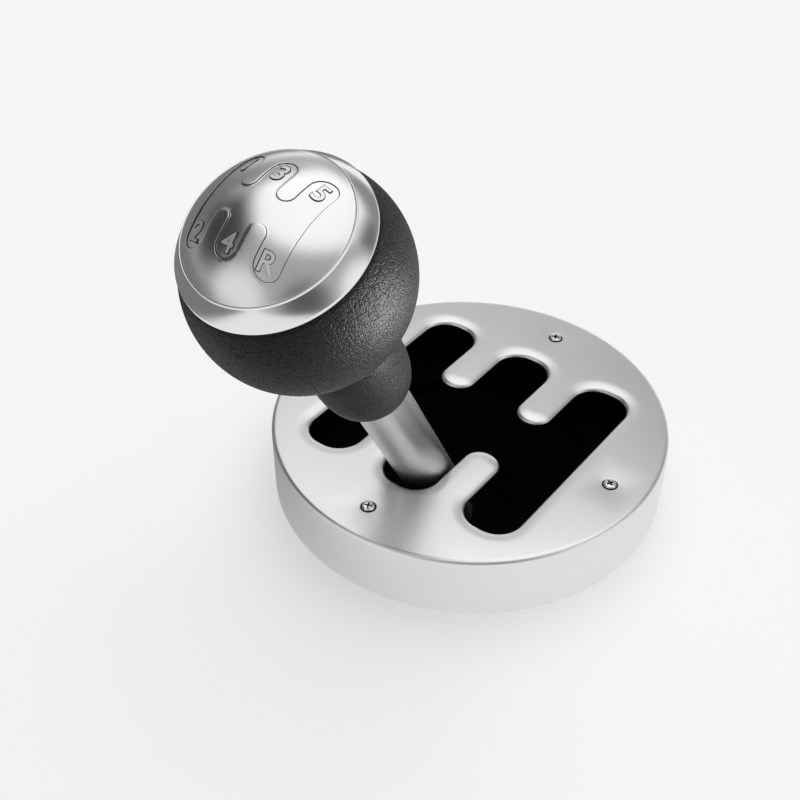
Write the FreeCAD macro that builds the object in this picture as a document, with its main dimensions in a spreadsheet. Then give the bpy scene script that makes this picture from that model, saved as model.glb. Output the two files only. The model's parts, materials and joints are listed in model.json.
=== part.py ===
"""Gear shift knob on its lever, with the round open gate plate and the ball pivot under it.

Millimetres. The origin is the centre of the gate plate's underside, +Z is up, +Y points to
the 1-3-5 side and +X to the 5-R column. The lever stands in 4th gear, leaning straight
back. Every piece of the lever is drawn upright about the pivot and then leant over.
"""
import FreeCAD, Part
import math
import os
import re
import Sketcher

V = FreeCAD.Vector
NEAR = 0.001
PLUS, MINUS = "plus side", "minus side"
SIDES = {PLUS: 1, MINUS: -1}

# Driving sizes: name, value, meaning
SIZES = {
    "plate_radius": (50.0, "outside radius of the gate plate"),
    "plate_height": (17.2, "height of the gate plate's top face"),
    "top_wall": (2.0, "thickness of the plate's top"),
    "skirt_wall": (2.4, "thickness of the plate's side wall"),
    "rim_round": (1.2, "rounding of the plate's top rim"),
    "slot_width": (14.4, "width of each gear slot"),
    "slot_land": (4.46, "land between a slot's outer corner and the side wall"),
    "slot_corner": (5.0, "corner radius at the slot ends"),
    "gate_pitch": (23.8, "distance between neighbouring slots"),
    "channel_width": (15.6, "width of the neutral channel"),
    "finger_round": (4.5, "rounding of the finger tips"),
    "edge_roll": (1.5, "rolled edge round the gate opening"),
    "screw_inset": (9.15, "distance of the plate screws and console bolts from the plate's edge"),
    "dimple_radius": (4.2, "radius of the dimple under each screw head"),
    "dimple_depth": (0.5, "depth of the dimple"),
    "screw_radius": (1.0, "radius of the plate screw's thread"),
    "screw_head_radius": (2.0, "radius of the plate screw's head"),
    "screw_head_height": (1.3, "height of the plate screw's head"),
    "screw_length": (9.0, "length of the plate screw under its head"),
    "thread_gap": (0.02, "gap between a screw or seat and its hole"),
    "through_gap": (1.0, "distance that a through cut runs past the face"),
    "gasket_thick": (0.8, "thickness of the console gasket"),
    "gasket_inner": (37.0, "inner radius of the console gasket"),
    "gasket_play": (0.6, "play of the console bolts in the gasket"),
    "ring_thick": (3.0, "thickness of the base ring"),
    "ring_inner": (31.0, "inner radius of the base ring"),
    "ring_gap": (0.2, "gap between the base ring and the skirt"),
    "boss_radius": (3.6, "radius of the screw bosses on the base ring"),
    "console_core": (1.65, "core radius of the M4 console bolt threads"),
    "console_boss": (4.2, "radius of the console bolt bosses"),
    "console_boss_top": (12.0, "height of the console bolt bosses"),
    "console_depth": (9.0, "depth of the console bolt threads"),
    "console_turn": (22.5, "turn of the console bolts from the slots, in degrees"),
    "lean": (27.15, "lean of the lever in 4th gear, in degrees"),
    "pivot_drop": (40.7, "depth of the pivot centre under the plate's top"),
    "pivot_radius": (12.0, "radius of the pivot ball"),
    "pivot_flat": (11.0, "distance of the ball's flats from its centre"),
    "cup_gap": (0.05, "running gap between the ball and its cups"),
    "cup_wall": (3.4, "wall of the ball cups at the ball's waist"),
    "cup_upper_reach": (5.2, "height of the upper cup"),
    "cup_lower_reach": (5.6, "height of the lower cup"),
    "lip_thick": (3.6, "thickness of the lip that carries the lower cup"),
    "lip_mouth": (11.4, "radius of the lip's mouth at the cup"),
    "lip_flare": (14.2, "radius of the lip's mouth at the bottom"),
    "socket_wall": (3.0, "wall of the housing round the cups"),
    "retainer_thick": (3.0, "thickness of the cup retainer"),
    "retainer_mouth": (12.9, "inner radius of the cup retainer"),
    "retainer_step": (0.8, "step from the socket bore to the retainer's thread"),
    "bell_mouth": (28.4, "inner radius of the bell at its flange"),
    "bell_wall": (2.4, "wall of the bell"),
    "flange_radius": (36.0, "radius of the housing flange"),
    "flange_thick": (3.0, "thickness of the housing flange"),
    "housing_screw_circle": (33.5, "radius of the circle of housing screws"),
    "housing_screw_radius": (1.5, "radius of the housing screw's thread"),
    "housing_head_radius": (2.4, "radius of the housing screw's head"),
    "housing_head_height": (1.8, "height of the housing screw's head"),
    "housing_screw_length": (7.5, "length of the housing screw under its head"),
    "housing_boss_top": (8.2, "height of the housing screw bosses"),
    "shaft_radius": (6.5, "radius of the lever shaft"),
    "neck_radius": (5.0, "radius of the lever's neck above the ball"),
    "neck_top": (20.0, "height of the straight neck above the pivot"),
    "shank_radius": (4.0, "radius of the shank through the ball"),
    "blade_half": (6.5, "half width of the flat blade under the ball"),
    "blade_top": (15.0, "depth of the blade's top under the pivot"),
    "blade_round": (3.0, "rounding of the blade's shoulders"),
    "eye_drop": (34.0, "depth of the linkage eye under the pivot"),
    "eye_radius": (8.0, "outside radius of the linkage eye"),
    "bush_radius": (4.5, "outside radius of the linkage bush"),
    "bush_bore": (3.0, "bore radius of the linkage bush"),
    "plunger_drop": (20.0, "depth of the centring plungers under the pivot"),
    "plunger_gap": (0.05, "gap between a plunger and the blade"),
    "plunger_head": (6.0, "radius of the plunger's head"),
    "plunger_head_thick": (3.0, "thickness of the plunger's head"),
    "stem_radius": (3.0, "radius of the plunger's stem"),
    "stem_end": (34.0, "distance of the stem's end from the middle"),
    "tower_in": (24.0, "distance of the tower's inner face from the middle"),
    "tower_out": (31.0, "distance of the tower's outer face from the middle"),
    "tower_half": (5.0, "half width of the tower"),
    "tower_tip": (26.0, "depth of the tower's tip under the pivot"),
    "spring_radius": (4.2, "mean radius of the centring spring"),
    "wire_radius": (0.5, "wire radius of the centring spring"),
    "spring_turns": (5.0, "turns of the centring spring"),
    "clip_thick": (0.8, "thickness of the plunger clip"),
    "clip_radius": (5.0, "outside radius of the plunger clip"),
    "clip_groove": (0.5, "depth of the clip's groove in the stem"),
    "clip_slot": (2.2, "half width of the clip's opening"),
    "knob_height": (129.8, "distance of the knob's centre from the pivot"),
    "knob_radius": (22.2, "outside radius of the leather ball"),
    "knob_reference": (22.2, "ball radius that the sizes of the knob's top are stated for"),
    "leather_land": (0.2, "height from the ball leather's lip to where its mouth meets the ball"),
    "leather_step": (0.3, "gap between the ball leather's lip and the collar"),
    "sleeve_sunk": (1.1, "height of the neck sleeve above its collar"),
    "core_rest": (0.1, "gap between the core's foot and the neck sleeve"),
    "leather_thick": (1.2, "thickness of the leather"),
    "core_gap": (0.05, "gap between the leather and what it covers"),
    "stud_radius": (4.0, "radius of the M8 stud at the lever's top"),
    "stud_foot": (30.0, "depth of the stud's foot under the knob's centre"),
    "stud_top": (4.0, "depth of the stud's end under the knob's centre"),
    "nut_thick": (5.0, "thickness of the jam nut"),
    "nut_half": (6.5, "half the width across the jam nut's flats"),
    "nut_room": (1.5, "room above and below the jam nut"),
    "insert_radius": (6.0, "radius of the threaded insert"),
    "insert_top": (2.0, "depth of the insert's top under the knob's centre"),
    "insert_foot": (18.5, "depth of the insert's foot under the knob's centre"),
    "insert_roof": (1.5, "thickness of the insert's closed end"),
    "insert_play": (0.6, "room round the insert in the neck sleeve"),
    "sleeve_radius": (9.35, "outside radius of the neck sleeve"),
    "sleeve_gap": (0.05, "gap between the neck sleeve and the shaft"),
    "sleeve_bore": (8.0, "radius of the sleeve's room for the jam nut"),
    "collar_radius": (10.7, "outside radius of the leather collar"),
    "collar_waist": (35.7, "depth where the collar starts to close"),
    "collar_foot": (46.0, "depth of the collar's foot under the knob's centre"),
    "collar_mouth": (7.4, "outside radius of the collar's foot"),
    "collar_wall": (1.2, "thickness of the collar's leather"),
    "collar_floor": (1.0, "thickness of the leather turned in at the collar's foot"),
    "collar_belly": (1.75, "widening of the collar low on its closing end"),
    "collar_belly_rise": (3.6, "height of that widening above the collar's foot"),
    "collar_tuck": (0.55, "narrowing of the collar high on its closing end"),
    "collar_tuck_drop": (3.4, "depth of that narrowing under the collar's waist"),
    "ring_foot": (12.0, "height of the trim ring's foot above the knob's centre"),
    "ring_edge": (19.4, "radius of the trim ring's lower edge"),
    "ring_dome": (23.15, "radius of the trim ring's outer face about the knob's centre"),
    "ring_top": (16.3, "height of the trim ring's outer face"),
    "ring_lip": (0.35, "height of the lip between ring and cap"),
    "ring_seat": (15.2, "inner radius of the trim ring"),
    "ring_edge_high": (0.5, "height of the ring's lower edge"),
    "lip_drop": (0.15, "drop from the lip's crown to its edges"),
    "lip_wide": (0.2, "width of the lip"),
    "cap_radius": (16.3, "radius of the cap"),
    "cap_gap": (0.05, "gap between the cap and the ring"),
    "cap_seat": (14.8, "height of the cap's seat above the knob's centre"),
    "cap_top": (22.75, "height of the cap's crown above the knob's centre"),
    "cap_dome": (23.7, "radius of the cap's dome"),
    "cap_wall": (1.8, "wall of the cap"),
    "cap_rim": (1.1, "thickness of the cap's skirt"),
    "cap_stub": (3.0, "radius of the cap's stub"),
    "cap_stub_foot": (5.0, "height of the stub's foot above the knob's centre"),
    "stub_room": (0.3, "room under the stub's foot"),
    "core_table": (11.8, "height of the core's table above the knob's centre"),
    "core_boss_radius": (14.9, "radius of the core's boss inside the cap"),
    "core_boss_top": (14.2, "height of the core's boss"),
    "pattern_pitch": (8.4, "distance between the pattern's columns"),
    "pattern_width": (4.9, "width of the pattern's grooves"),
    "pattern_reach": (10.8, "half length of the pattern's columns"),
    "pattern_channel": (5.4, "width of the pattern's cross groove"),
    "pattern_depth": (0.4, "depth of the pattern"),
}

document = FreeCAD.newDocument("gear_shift_knob")
sheet = document.addObject("Spreadsheet::Sheet", "sizes")
for row, (name, (value, meaning)) in enumerate(SIZES.items(), start=1):
    sheet.set(f"A{row}", name)
    sheet.set(f"B{row}", str(value))
    sheet.set(f"C{row}", meaning)
    sheet.setAlias(f"B{row}", name)
document.recompute()

# Places that several pieces share, as formulas on the driving sizes
TOP_UNDER = "plate_height - top_wall"
RING_TOP = "gasket_thick + ring_thick"
PIVOT = "plate_height - pivot_drop"
BLADE_HALF_THICK = "shank_radius"
CUP_OUTER = "pivot_radius + cup_wall"
SOCKET_BORE = "pivot_radius + cup_wall + thread_gap"
THREAD_BORE = "pivot_radius + cup_wall + retainer_step"
FLANGE_TOP = "gasket_thick - plate_height + pivot_drop"
SCREW_CIRCLE = "(plate_radius - screw_inset)"
BOLT_ACROSS = f"{SCREW_CIRCLE} * cos(console_turn * 1 deg)"
BOLT_ALONG = f"{SCREW_CIRCLE} * sin(console_turn * 1 deg)"
SLOT_CORNER_REACH = "(plate_radius - skirt_wall - slot_land)"
SLOT_REACH = f"sqrt({SLOT_CORNER_REACH} ^ 2 - (gate_pitch + slot_width / 2) ^ 2)"
LEATHER_MOUTH = "(sleeve_radius + core_gap)"
LEATHER_LIP = f"sqrt(knob_radius ^ 2 - {LEATHER_MOUTH} ^ 2) - leather_land"
COLLAR_TOP = f"{LEATHER_LIP} + leather_step"
SLEEVE_TOP = f"{COLLAR_TOP} - sleeve_sunk"
CORE_FOOT = f"{SLEEVE_TOP} - core_rest"


def formula(text):
    """Give an expression on the sheet, with each size name pointing at its cell."""
    return re.sub(r"[a-z_]+", lambda m: "sizes." + m[0] if m[0] in SIZES else m[0], text)


def number(text):
    """Work a formula out to a plain number."""
    result = sheet.evalExpression(formula(text))
    return float(getattr(result, "Value", result))


def bind(thing, **formulas):
    """Bind properties of a thing to formulas; a double underscore stands for a dot."""
    for name, text in formulas.items():
        thing.setExpression(name.replace("__", "."), formula(text))


def new_body(label):
    """Start a piece that is drawn in its own body."""
    body = document.addObject("PartDesign::Body", label)
    body.Label = label
    return body


def plane(body, role):
    """Find one of a body's origin planes or axes by its role."""
    return next(item for item in body.Origin.OriginFeatures if item.Role == role)


def new_sketch(body, name, role="XZ_Plane", lift=None):
    """Start a sketch on an origin plane, lifted off it by a formula."""
    sketch = body.newObject("Sketcher::SketchObject", f"{body.Label}_{name}")
    sketch.AttachmentSupport = [(plane(body, role), "")]
    sketch.MapMode = "FlatFace"
    if lift:
        bind(sketch, AttachmentOffset__Base__z=lift)
    return sketch


def hold(sketch, kind, geometry, point, text):
    """Hold a point of the sketch at a formula's distance from its origin."""
    if text == "0":
        axis = -2 if kind == "DistanceX" else -1
        sketch.addConstraint(Sketcher.Constraint("PointOnObject", geometry, point, axis))
        return
    value = number(text)
    index = sketch.addConstraint(Sketcher.Constraint(kind, -1, 1, geometry, point, value))
    sketch.setExpression(f"Constraints[{index}]", formula(text))


def outline(sketch, corners):
    """Draw a closed outline through corners.

    A corner is (across, up), or (across, up, arc), where arc is (centre across, centre up,
    turn) of the arc that leads from it to the next corner, and turn is 1 for an arc that
    runs anticlockwise and -1 for clockwise. A corner's value of PLUS or MINUS follows from
    its arc, on that side of the arc's centre.
    """
    places = []
    for index, corner in enumerate(corners):
        across, up = corner[0], corner[1]
        if across not in SIDES and up not in SIDES:
            places.append((number(across), number(up)))
            continue
        centre = [number(text) for text in corners[index - 1][2][:2]]
        reach = math.dist(places[-1], centre)
        if across in SIDES:
            height = number(up)
            aside = math.sqrt(reach ** 2 - (height - centre[1]) ** 2)
            places.append((centre[0] + SIDES[across] * aside, height))
        else:
            width = number(across)
            aside = math.sqrt(reach ** 2 - (width - centre[0]) ** 2)
            places.append((width, centre[1] + SIDES[up] * aside))
    first = sketch.GeometryCount
    for index, corner in enumerate(corners):
        start, end = places[index], places[(index + 1) % len(places)]
        if len(corner) == 2:
            sketch.addGeometry(Part.LineSegment(V(*start, 0), V(*end, 0)), False)
            continue
        centre = [number(text) for text in corner[2][:2]]
        circle = Part.Circle(V(*centre, 0), V(0, 0, 1), math.dist(start, centre))
        angles = [math.atan2(spot[1] - centre[1], spot[0] - centre[0]) for spot in (start, end)]
        if corner[2][2] < 0:
            angles.reverse()
        sketch.addGeometry(Part.ArcOfCircle(circle, *angles), False)
    for index, corner in enumerate(corners):
        turned = len(corner) == 3 and corner[2][2] < 0
        own, start_point = first + index, 2 if turned else 1
        before = corners[index - 1]
        before_turned = len(before) == 3 and before[2][2] < 0
        other = first + (index - 1) % len(corners)
        sketch.addConstraint(Sketcher.Constraint(
            "Coincident", other, 1 if before_turned else 2, own, start_point))
        if corner[0] not in SIDES:
            hold(sketch, "DistanceX", own, start_point, corner[0])
        if corner[1] not in SIDES:
            hold(sketch, "DistanceY", own, start_point, corner[1])
        if len(corner) == 3:
            hold(sketch, "DistanceX", own, 3, corner[2][0])
            hold(sketch, "DistanceY", own, 3, corner[2][1])


def disc(sketch, across, up, radius):
    """Draw a circle at formulas for its centre and radius."""
    centre = V(number(across), number(up), 0)
    index = sketch.addGeometry(Part.Circle(centre, V(0, 0, 1), number(radius)), False)
    hold(sketch, "DistanceX", index, 3, across)
    hold(sketch, "DistanceY", index, 3, up)
    size = sketch.addConstraint(Sketcher.Constraint("Radius", index, number(radius)))
    sketch.setExpression(f"Constraints[{size}]", formula(radius))


def turned(body, corners, name="profile"):
    """Revolve an outline about the upright axis."""
    sketch = new_sketch(body, name)
    outline(sketch, corners)
    feature = body.newObject("PartDesign::Revolution", f"{body.Label}_{name}_turned")
    feature.Profile = sketch
    feature.ReferenceAxis = (sketch, ["V_Axis"])
    feature.Angle = 360
    document.recompute()
    return feature


def padded(body, sketch, length, both=False, down=False):
    """Pad a sketch by a formula's length."""
    feature = body.newObject("PartDesign::Pad", f"{sketch.Name}_pad")
    feature.Profile = sketch
    feature.SideType = 2 if both else 0
    feature.Reversed = down
    bind(feature, Length=length)
    document.recompute()
    return feature


def cut(body, sketch, length, both=False, up=False):
    """Cut a sketch into the body and make sure that it took material away."""
    before = body.Shape.Volume
    feature = body.newObject("PartDesign::Pocket", f"{sketch.Name}_cut")
    feature.Profile = sketch
    feature.SideType = 2 if both else 0
    feature.Reversed = up
    bind(feature, Length=length)
    document.recompute()
    if feature.Shape.Volume > before - 1e-6:
        raise RuntimeError(f"{sketch.Name} cuts nothing")
    return feature


def drilled(body, name, radius, depth, across, foot):
    """Cut an upright round hole whose foot stands at a formula's height."""
    hole = body.newObject("PartDesign::SubtractiveCylinder", f"{body.Label}_{name}")
    bind(hole, Radius=radius, Height=depth, Placement__Base__x=across, Placement__Base__z=foot)
    document.recompute()
    return hole


def round_the_axis(body, features, count):
    """Repeat features evenly about the upright axis."""
    pattern = body.newObject("PartDesign::PolarPattern", f"{features[0].Name}_pattern")
    pattern.Originals = features
    pattern.Axis = (plane(body, "Z_Axis"), [""])
    pattern.Angle = 360
    pattern.Occurrences = count
    body.Tip = pattern
    document.recompute()
    return pattern


def rounded(body, feature, radius, wanted, name="round"):
    """Round the edges of a feature that the test picks."""
    edges = [f"Edge{index}" for index, edge in enumerate(feature.Shape.Edges, start=1)
             if wanted(edge)]
    if not edges:
        raise RuntimeError(f"{body.Label} has no edges to round for {name}")
    fillet = body.newObject("PartDesign::Fillet", f"{body.Label}_{name}")
    fillet.Base = (feature, edges)
    bind(fillet, Radius=radius)
    document.recompute()
    return fillet


def at_pivot(piece, leaning):
    """Set a piece that is drawn about the pivot in its place, leaning with the lever or not."""
    piece.Placement = FreeCAD.Placement(V(0, 0, 0), FreeCAD.Rotation(V(1, 0, 0), 10))
    bind(piece, Placement__Base__z=PIVOT, Placement__Rotation__Angle="lean" if leaning else "0")
    return piece


def box_outline(sketch, left, right, low, high):
    """Draw an upright rectangle between formulas."""
    outline(sketch, [(left, low), (right, low), (right, high), (left, high)])


def upright(edge):
    """Say whether an edge runs straight up."""
    return len(edge.Vertexes) == 2 and edge.BoundBox.XLength < NEAR and edge.BoundBox.YLength < NEAR


def level(edge, height):
    """Say whether an edge lies flat at a height."""
    return abs(edge.BoundBox.ZMin - height) < NEAR and edge.BoundBox.ZLength < NEAR


def gate_opening(body, foot, pitch, width, reach, channel):
    """Draw the six-way gate with square corners: three full slots and the neutral channel."""
    sketch = new_sketch(body, "slots", "XY_Plane", foot)
    half = f"({width}) / 2"
    column = f"{pitch} + {half}"
    inner = f"{pitch} - {half}"
    rows = f"({channel}) / 2"
    corners = [(f"-({column})", f"-({reach})"), (f"-({inner})", f"-({reach})"),
               (f"-({inner})", f"-({rows})"), (f"-({half})", f"-({rows})"),
               (f"-({half})", f"-({reach})"), (half, f"-({reach})"),
               (half, f"-({rows})"), (inner, f"-({rows})"),
               (inner, f"-({reach})"), (column, f"-({reach})"),
               (column, reach), (inner, reach), (inner, rows), (half, rows), (half, reach),
               (f"-({half})", reach), (f"-({half})", rows), (f"-({inner})", rows),
               (f"-({inner})", reach), (f"-({column})", reach)]
    outline(sketch, corners)
    return sketch


def round_gate(body, gate, reach, channel, corner, tip):
    """Round the gate's corners: first the slot ends, then the tips of the fingers between."""
    ends, rows = number(reach), number(f"({channel}) / 2")
    ended = rounded(body, gate, corner,
                    lambda edge: upright(edge)
                    and abs(abs(edge.CenterOfMass.y) - ends) < NEAR, "slot_ends")
    return rounded(body, ended, tip,
                   lambda edge: upright(edge)
                   and abs(abs(edge.CenterOfMass.y) - rows) < NEAR, "finger_tips")


def make_gate_cover():
    """Turned plate with a skirt, the rolled gate opening and the dimpled screw holes."""
    body = new_body("gate_cover")
    turned(body, [("0", TOP_UNDER), ("plate_radius - skirt_wall", TOP_UNDER),
                  ("plate_radius - skirt_wall", "0"), ("plate_radius", "0"),
                  ("plate_radius", "plate_height"), ("0", "plate_height")])
    sketch = gate_opening(body, "plate_height", "gate_pitch", "slot_width", SLOT_REACH,
                          "channel_width")
    gate = cut(body, sketch, "top_wall + through_gap")
    tips = round_gate(body, gate, SLOT_REACH, "channel_width", "slot_corner", "finger_round")
    top = number("plate_height")
    rim = number("2 * pi * plate_radius")
    rolled = rounded(body, tips, "edge_roll",
                     lambda edge: level(edge, top) and edge.Length < rim / 2, "roll")
    edged = rounded(body, rolled, "rim_round",
                    lambda edge: level(edge, top) and abs(edge.Length - rim) < NEAR, "rim")
    body.Tip = edged
    hollow = body.newObject("PartDesign::SubtractiveSphere", "gate_cover_dimple")
    dome = "(dimple_radius ^ 2 + dimple_depth ^ 2) / (2 * dimple_depth)"
    bind(hollow, Radius=dome, Placement__Base__x=SCREW_CIRCLE,
         Placement__Base__z=f"plate_height - dimple_depth + {dome}")
    document.recompute()
    hole = drilled(body, "screw_hole", "screw_radius + thread_gap", "top_wall + 2 * through_gap",
                   SCREW_CIRCLE, "plate_height - top_wall - through_gap")
    seat = drilled(body, "screw_seat", "screw_head_radius + thread_gap",
                   "dimple_depth + through_gap", SCREW_CIRCLE, "plate_height - dimple_depth")
    round_the_axis(body, [hollow, hole, seat], 4)
    return body


def screws(label, circle, radius, head_radius, head_height, length, seat, down):
    """Make four pan head screws with cross recesses as one group of solids."""
    body = new_body(label)
    body.AllowCompound = True
    way = "-1" if down else "1"
    shank = body.newObject("PartDesign::AdditiveCylinder", f"{label}_shank")
    bind(shank, Radius=radius, Height=length, Placement__Base__x=circle,
         Placement__Base__z=f"{seat} - {length}" if down else seat)
    document.recompute()
    head = body.newObject("PartDesign::AdditiveCylinder", f"{label}_head")
    bind(head, Radius=head_radius, Height=head_height, Placement__Base__x=circle,
         Placement__Base__z=seat if down else f"{seat} - {head_height}")
    document.recompute()
    face = number(f"{seat} + ({head_height}) * {'1' if down else '-1'}")
    crown = rounded(body, head, f"({head_height}) * 0.6",
                    lambda edge: abs(edge.BoundBox.ZMin - face) < 1e-4
                    and edge.BoundBox.ZLength < 1e-4, "crown")
    sketch = new_sketch(body, "recess", "XY_Plane",
                        f"{seat} + ({head_height}) * ({'1' if down else '-1'})")
    arm, half = f"({head_radius}) * 0.55", f"({head_radius}) * 0.14"
    outline(sketch, [(f"{circle} - {arm}", f"-({half})"), (f"{circle} - {half}", f"-({half})"),
                     (f"{circle} - {half}", f"-({arm})"), (f"{circle} + {half}", f"-({arm})"),
                     (f"{circle} + {half}", f"-({half})"), (f"{circle} + {arm}", f"-({half})"),
                     (f"{circle} + {arm}", half), (f"{circle} + {half}", half),
                     (f"{circle} + {half}", arm), (f"{circle} - {half}", arm),
                     (f"{circle} - {half}", half), (f"{circle} - {arm}", half)])
    recess = cut(body, sketch, f"({head_height}) * 0.6", up=not down)
    round_the_axis(body, [shank, head, crown, recess], 4)
    return body


def make_base_ring():
    """Cast ring under the plate, with bosses for the plate screws and the console bolts."""
    body = new_body("base_ring")
    turned(body, [("ring_inner", "gasket_thick"),
                  ("plate_radius - skirt_wall - ring_gap", "gasket_thick"),
                  ("plate_radius - skirt_wall - ring_gap", RING_TOP), ("ring_inner", RING_TOP)])
    groups = (("screw", SCREW_CIRCLE, "boss_radius", TOP_UNDER, "screw_radius",
               f"{TOP_UNDER} - screw_length - through_gap / 2", "screw_length + 2 * through_gap"),
              ("housing", "housing_screw_circle", "housing_screw_radius * 2", "housing_boss_top",
               "housing_screw_radius", "gasket_thick - through_gap", "housing_boss_top"))
    for name, circle, radius, top, bore, foot, depth in groups:
        boss = body.newObject("PartDesign::AdditiveCylinder", f"base_ring_{name}_boss")
        bind(boss, Radius=radius, Height=f"{top} - gasket_thick", Placement__Base__x=circle,
             Placement__Base__z="gasket_thick")
        document.recompute()
        hole = drilled(body, f"{name}_bore", f"{bore} + thread_gap", depth, circle, foot)
        round_the_axis(body, [boss, hole], 4)
    boss = body.newObject("PartDesign::AdditiveCylinder", "base_ring_console_boss")
    bind(boss, Radius="console_boss", Height="console_boss_top - gasket_thick",
         Placement__Base__x=BOLT_ACROSS, Placement__Base__y=BOLT_ALONG,
         Placement__Base__z="gasket_thick")
    document.recompute()
    hole = drilled(body, "console_bore", "console_core", "console_depth + through_gap",
                   BOLT_ACROSS, "gasket_thick - through_gap")
    bind(hole, Placement__Base__y=BOLT_ALONG)
    document.recompute()
    round_the_axis(body, [boss, hole], 4)
    return body


def make_console_gasket():
    """Flat rubber ring between the console and the base ring."""
    body = new_body("console_gasket")
    turned(body, [("gasket_inner", "0"), ("plate_radius - skirt_wall - ring_gap", "0"),
                  ("plate_radius - skirt_wall - ring_gap", "gasket_thick"),
                  ("gasket_inner", "gasket_thick")])
    hole = drilled(body, "bolt_hole", "console_core + gasket_play", "gasket_thick + 2 * through_gap",
                   BOLT_ACROSS, "-through_gap")
    bind(hole, Placement__Base__y=BOLT_ALONG)
    document.recompute()
    round_the_axis(body, [hole], 4)
    return body


def make_pivot_housing():
    """Moulded bell that hangs from the base ring, with the ball socket and two spring towers."""
    body = new_body("pivot_housing")
    socket_outer = f"{THREAD_BORE} + socket_wall - retainer_step"
    thread_top = "cup_upper_reach + retainer_thick + 1.2"
    turned(body, [("lip_mouth", "-cup_lower_reach"),
                  ("lip_flare", "-(cup_lower_reach + lip_thick)"),
                  (socket_outer, "-(cup_lower_reach + lip_thick)"),
                  (socket_outer, "cup_upper_reach"),
                  (f"{THREAD_BORE} + bell_wall", thread_top),
                  ("bell_mouth + bell_wall", f"{FLANGE_TOP} - flange_thick"),
                  ("flange_radius", f"{FLANGE_TOP} - flange_thick"),
                  ("flange_radius", FLANGE_TOP), ("bell_mouth", FLANGE_TOP),
                  (THREAD_BORE, thread_top), (THREAD_BORE, "cup_upper_reach"),
                  (SOCKET_BORE, "cup_upper_reach"), (SOCKET_BORE, "-cup_lower_reach")])
    towers = new_sketch(body, "towers")
    knee = "-(cup_lower_reach + lip_thick)"
    for side in ("", "-"):
        root = f"{side}({socket_outer} - 1)"
        outline(towers, [(root, "-2"), (f"{side}(tower_out)", "-2"),
                         (f"{side}(tower_out)", "-tower_tip"),
                         (f"{side}(tower_in)", "-tower_tip"),
                         (f"{side}(tower_in)", knee), (root, knee)])
    arms = padded(body, towers, "2 * tower_half", both=True)
    bores = new_sketch(body, "bores", "YZ_Plane")
    disc(bores, "0", "-plunger_drop", "stem_radius + cup_gap")
    guided = cut(body, bores, "2 * tower_out + 2", both=True)
    holes = drilled(body, "flange_hole", "housing_screw_radius + thread_gap", "flange_thick + 2",
                    "housing_screw_circle", f"{FLANGE_TOP} - flange_thick - 1")
    round_the_axis(body, [holes], 4)
    return at_pivot(body, False)


def make_cups():
    """Acetal cups above and below the ball's waist, and the ring that holds them down."""
    ball = "pivot_radius + cup_gap"
    lower = new_body("ball_cup_lower")
    turned(lower, [(CUP_OUTER, "-cup_lower_reach"), (CUP_OUTER, "0"),
                   (ball, "0", ("0", "0", -1)), (PLUS, "-cup_lower_reach")])
    upper = new_body("ball_cup_upper")
    turned(upper, [(f"sqrt(({ball}) ^ 2 - cup_upper_reach ^ 2)", "cup_upper_reach",
                    ("0", "0", -1)),
                   (PLUS, "thread_gap"), (CUP_OUTER, "thread_gap"),
                   (CUP_OUTER, "cup_upper_reach")])
    retainer = new_body("cup_retainer")
    turned(retainer, [("retainer_mouth", "cup_upper_reach"),
                      (f"{THREAD_BORE} - thread_gap", "cup_upper_reach"),
                      (f"{THREAD_BORE} - thread_gap", "cup_upper_reach + retainer_thick"),
                      ("retainer_mouth + 0.8", "cup_upper_reach + retainer_thick"),
                      ("retainer_mouth", "cup_upper_reach + retainer_thick - 0.8")])
    for piece in (lower, upper, retainer):
        at_pivot(piece, False)


def make_centring(side, name):
    """Spring-loaded plunger that holds the lever in the 3-4 column from one side."""
    face = f"{BLADE_HALF_THICK} + plunger_gap"
    groove = "tower_out + 0.1"
    plunger = new_body(f"bias_plunger_{name}")
    turned(plunger, [("0", face), ("plunger_head", face),
                     ("plunger_head", f"{face} + plunger_head_thick"),
                     ("stem_radius", f"{face} + plunger_head_thick"), ("stem_radius", groove),
                     ("stem_radius - clip_groove", groove),
                     ("stem_radius - clip_groove", f"{groove} + clip_thick + 0.1"),
                     ("stem_radius", f"{groove} + clip_thick + 0.1"), ("stem_radius", "stem_end"),
                     ("0", "stem_end")])
    spring = new_body(f"bias_spring_{name}")
    foot = f"{face} + plunger_head_thick"
    wire = new_sketch(spring, "wire")
    disc(wire, "spring_radius", f"{foot} + wire_radius + 0.05", "wire_radius")
    coil = spring.newObject("PartDesign::AdditiveHelix", f"bias_spring_{name}_coil")
    coil.Profile = wire
    coil.ReferenceAxis = (wire, ["V_Axis"])
    coil.Mode = 2
    bind(coil, Height=f"tower_in - ({foot}) - 2 * wire_radius - 0.1", Turns="spring_turns")
    document.recompute()
    for piece in (plunger, spring):
        piece.Placement = FreeCAD.Placement(V(0, 0, 0), FreeCAD.Rotation(V(0, 1, 0), side * 90))
        bind(piece, Placement__Base__z=f"{PIVOT} - plunger_drop")


def make_plunger_clips():
    """Two spring clips in the grooves at the plungers' ends."""
    body = new_body("plunger_clips")
    body.AllowCompound = True
    sketch = new_sketch(body, "clip", "YZ_Plane", "tower_out + 0.15")
    disc(sketch, "0", "-plunger_drop", "clip_radius")
    plate = padded(body, sketch, "clip_thick")
    bore = new_sketch(body, "bore", "YZ_Plane", "tower_out")
    disc(bore, "0", "-plunger_drop", "stem_radius - clip_groove + thread_gap")
    hole = cut(body, bore, "clip_thick + 1", up=True)
    mouth = new_sketch(body, "mouth", "YZ_Plane", "tower_out")
    box_outline(mouth, "-clip_slot", "clip_slot", "-plunger_drop", "clip_radius * 2 - plunger_drop")
    gap = cut(body, mouth, "clip_thick + 1", up=True)
    round_the_axis(body, [plate, hole, gap], 2)
    return at_pivot(body, False)


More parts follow.
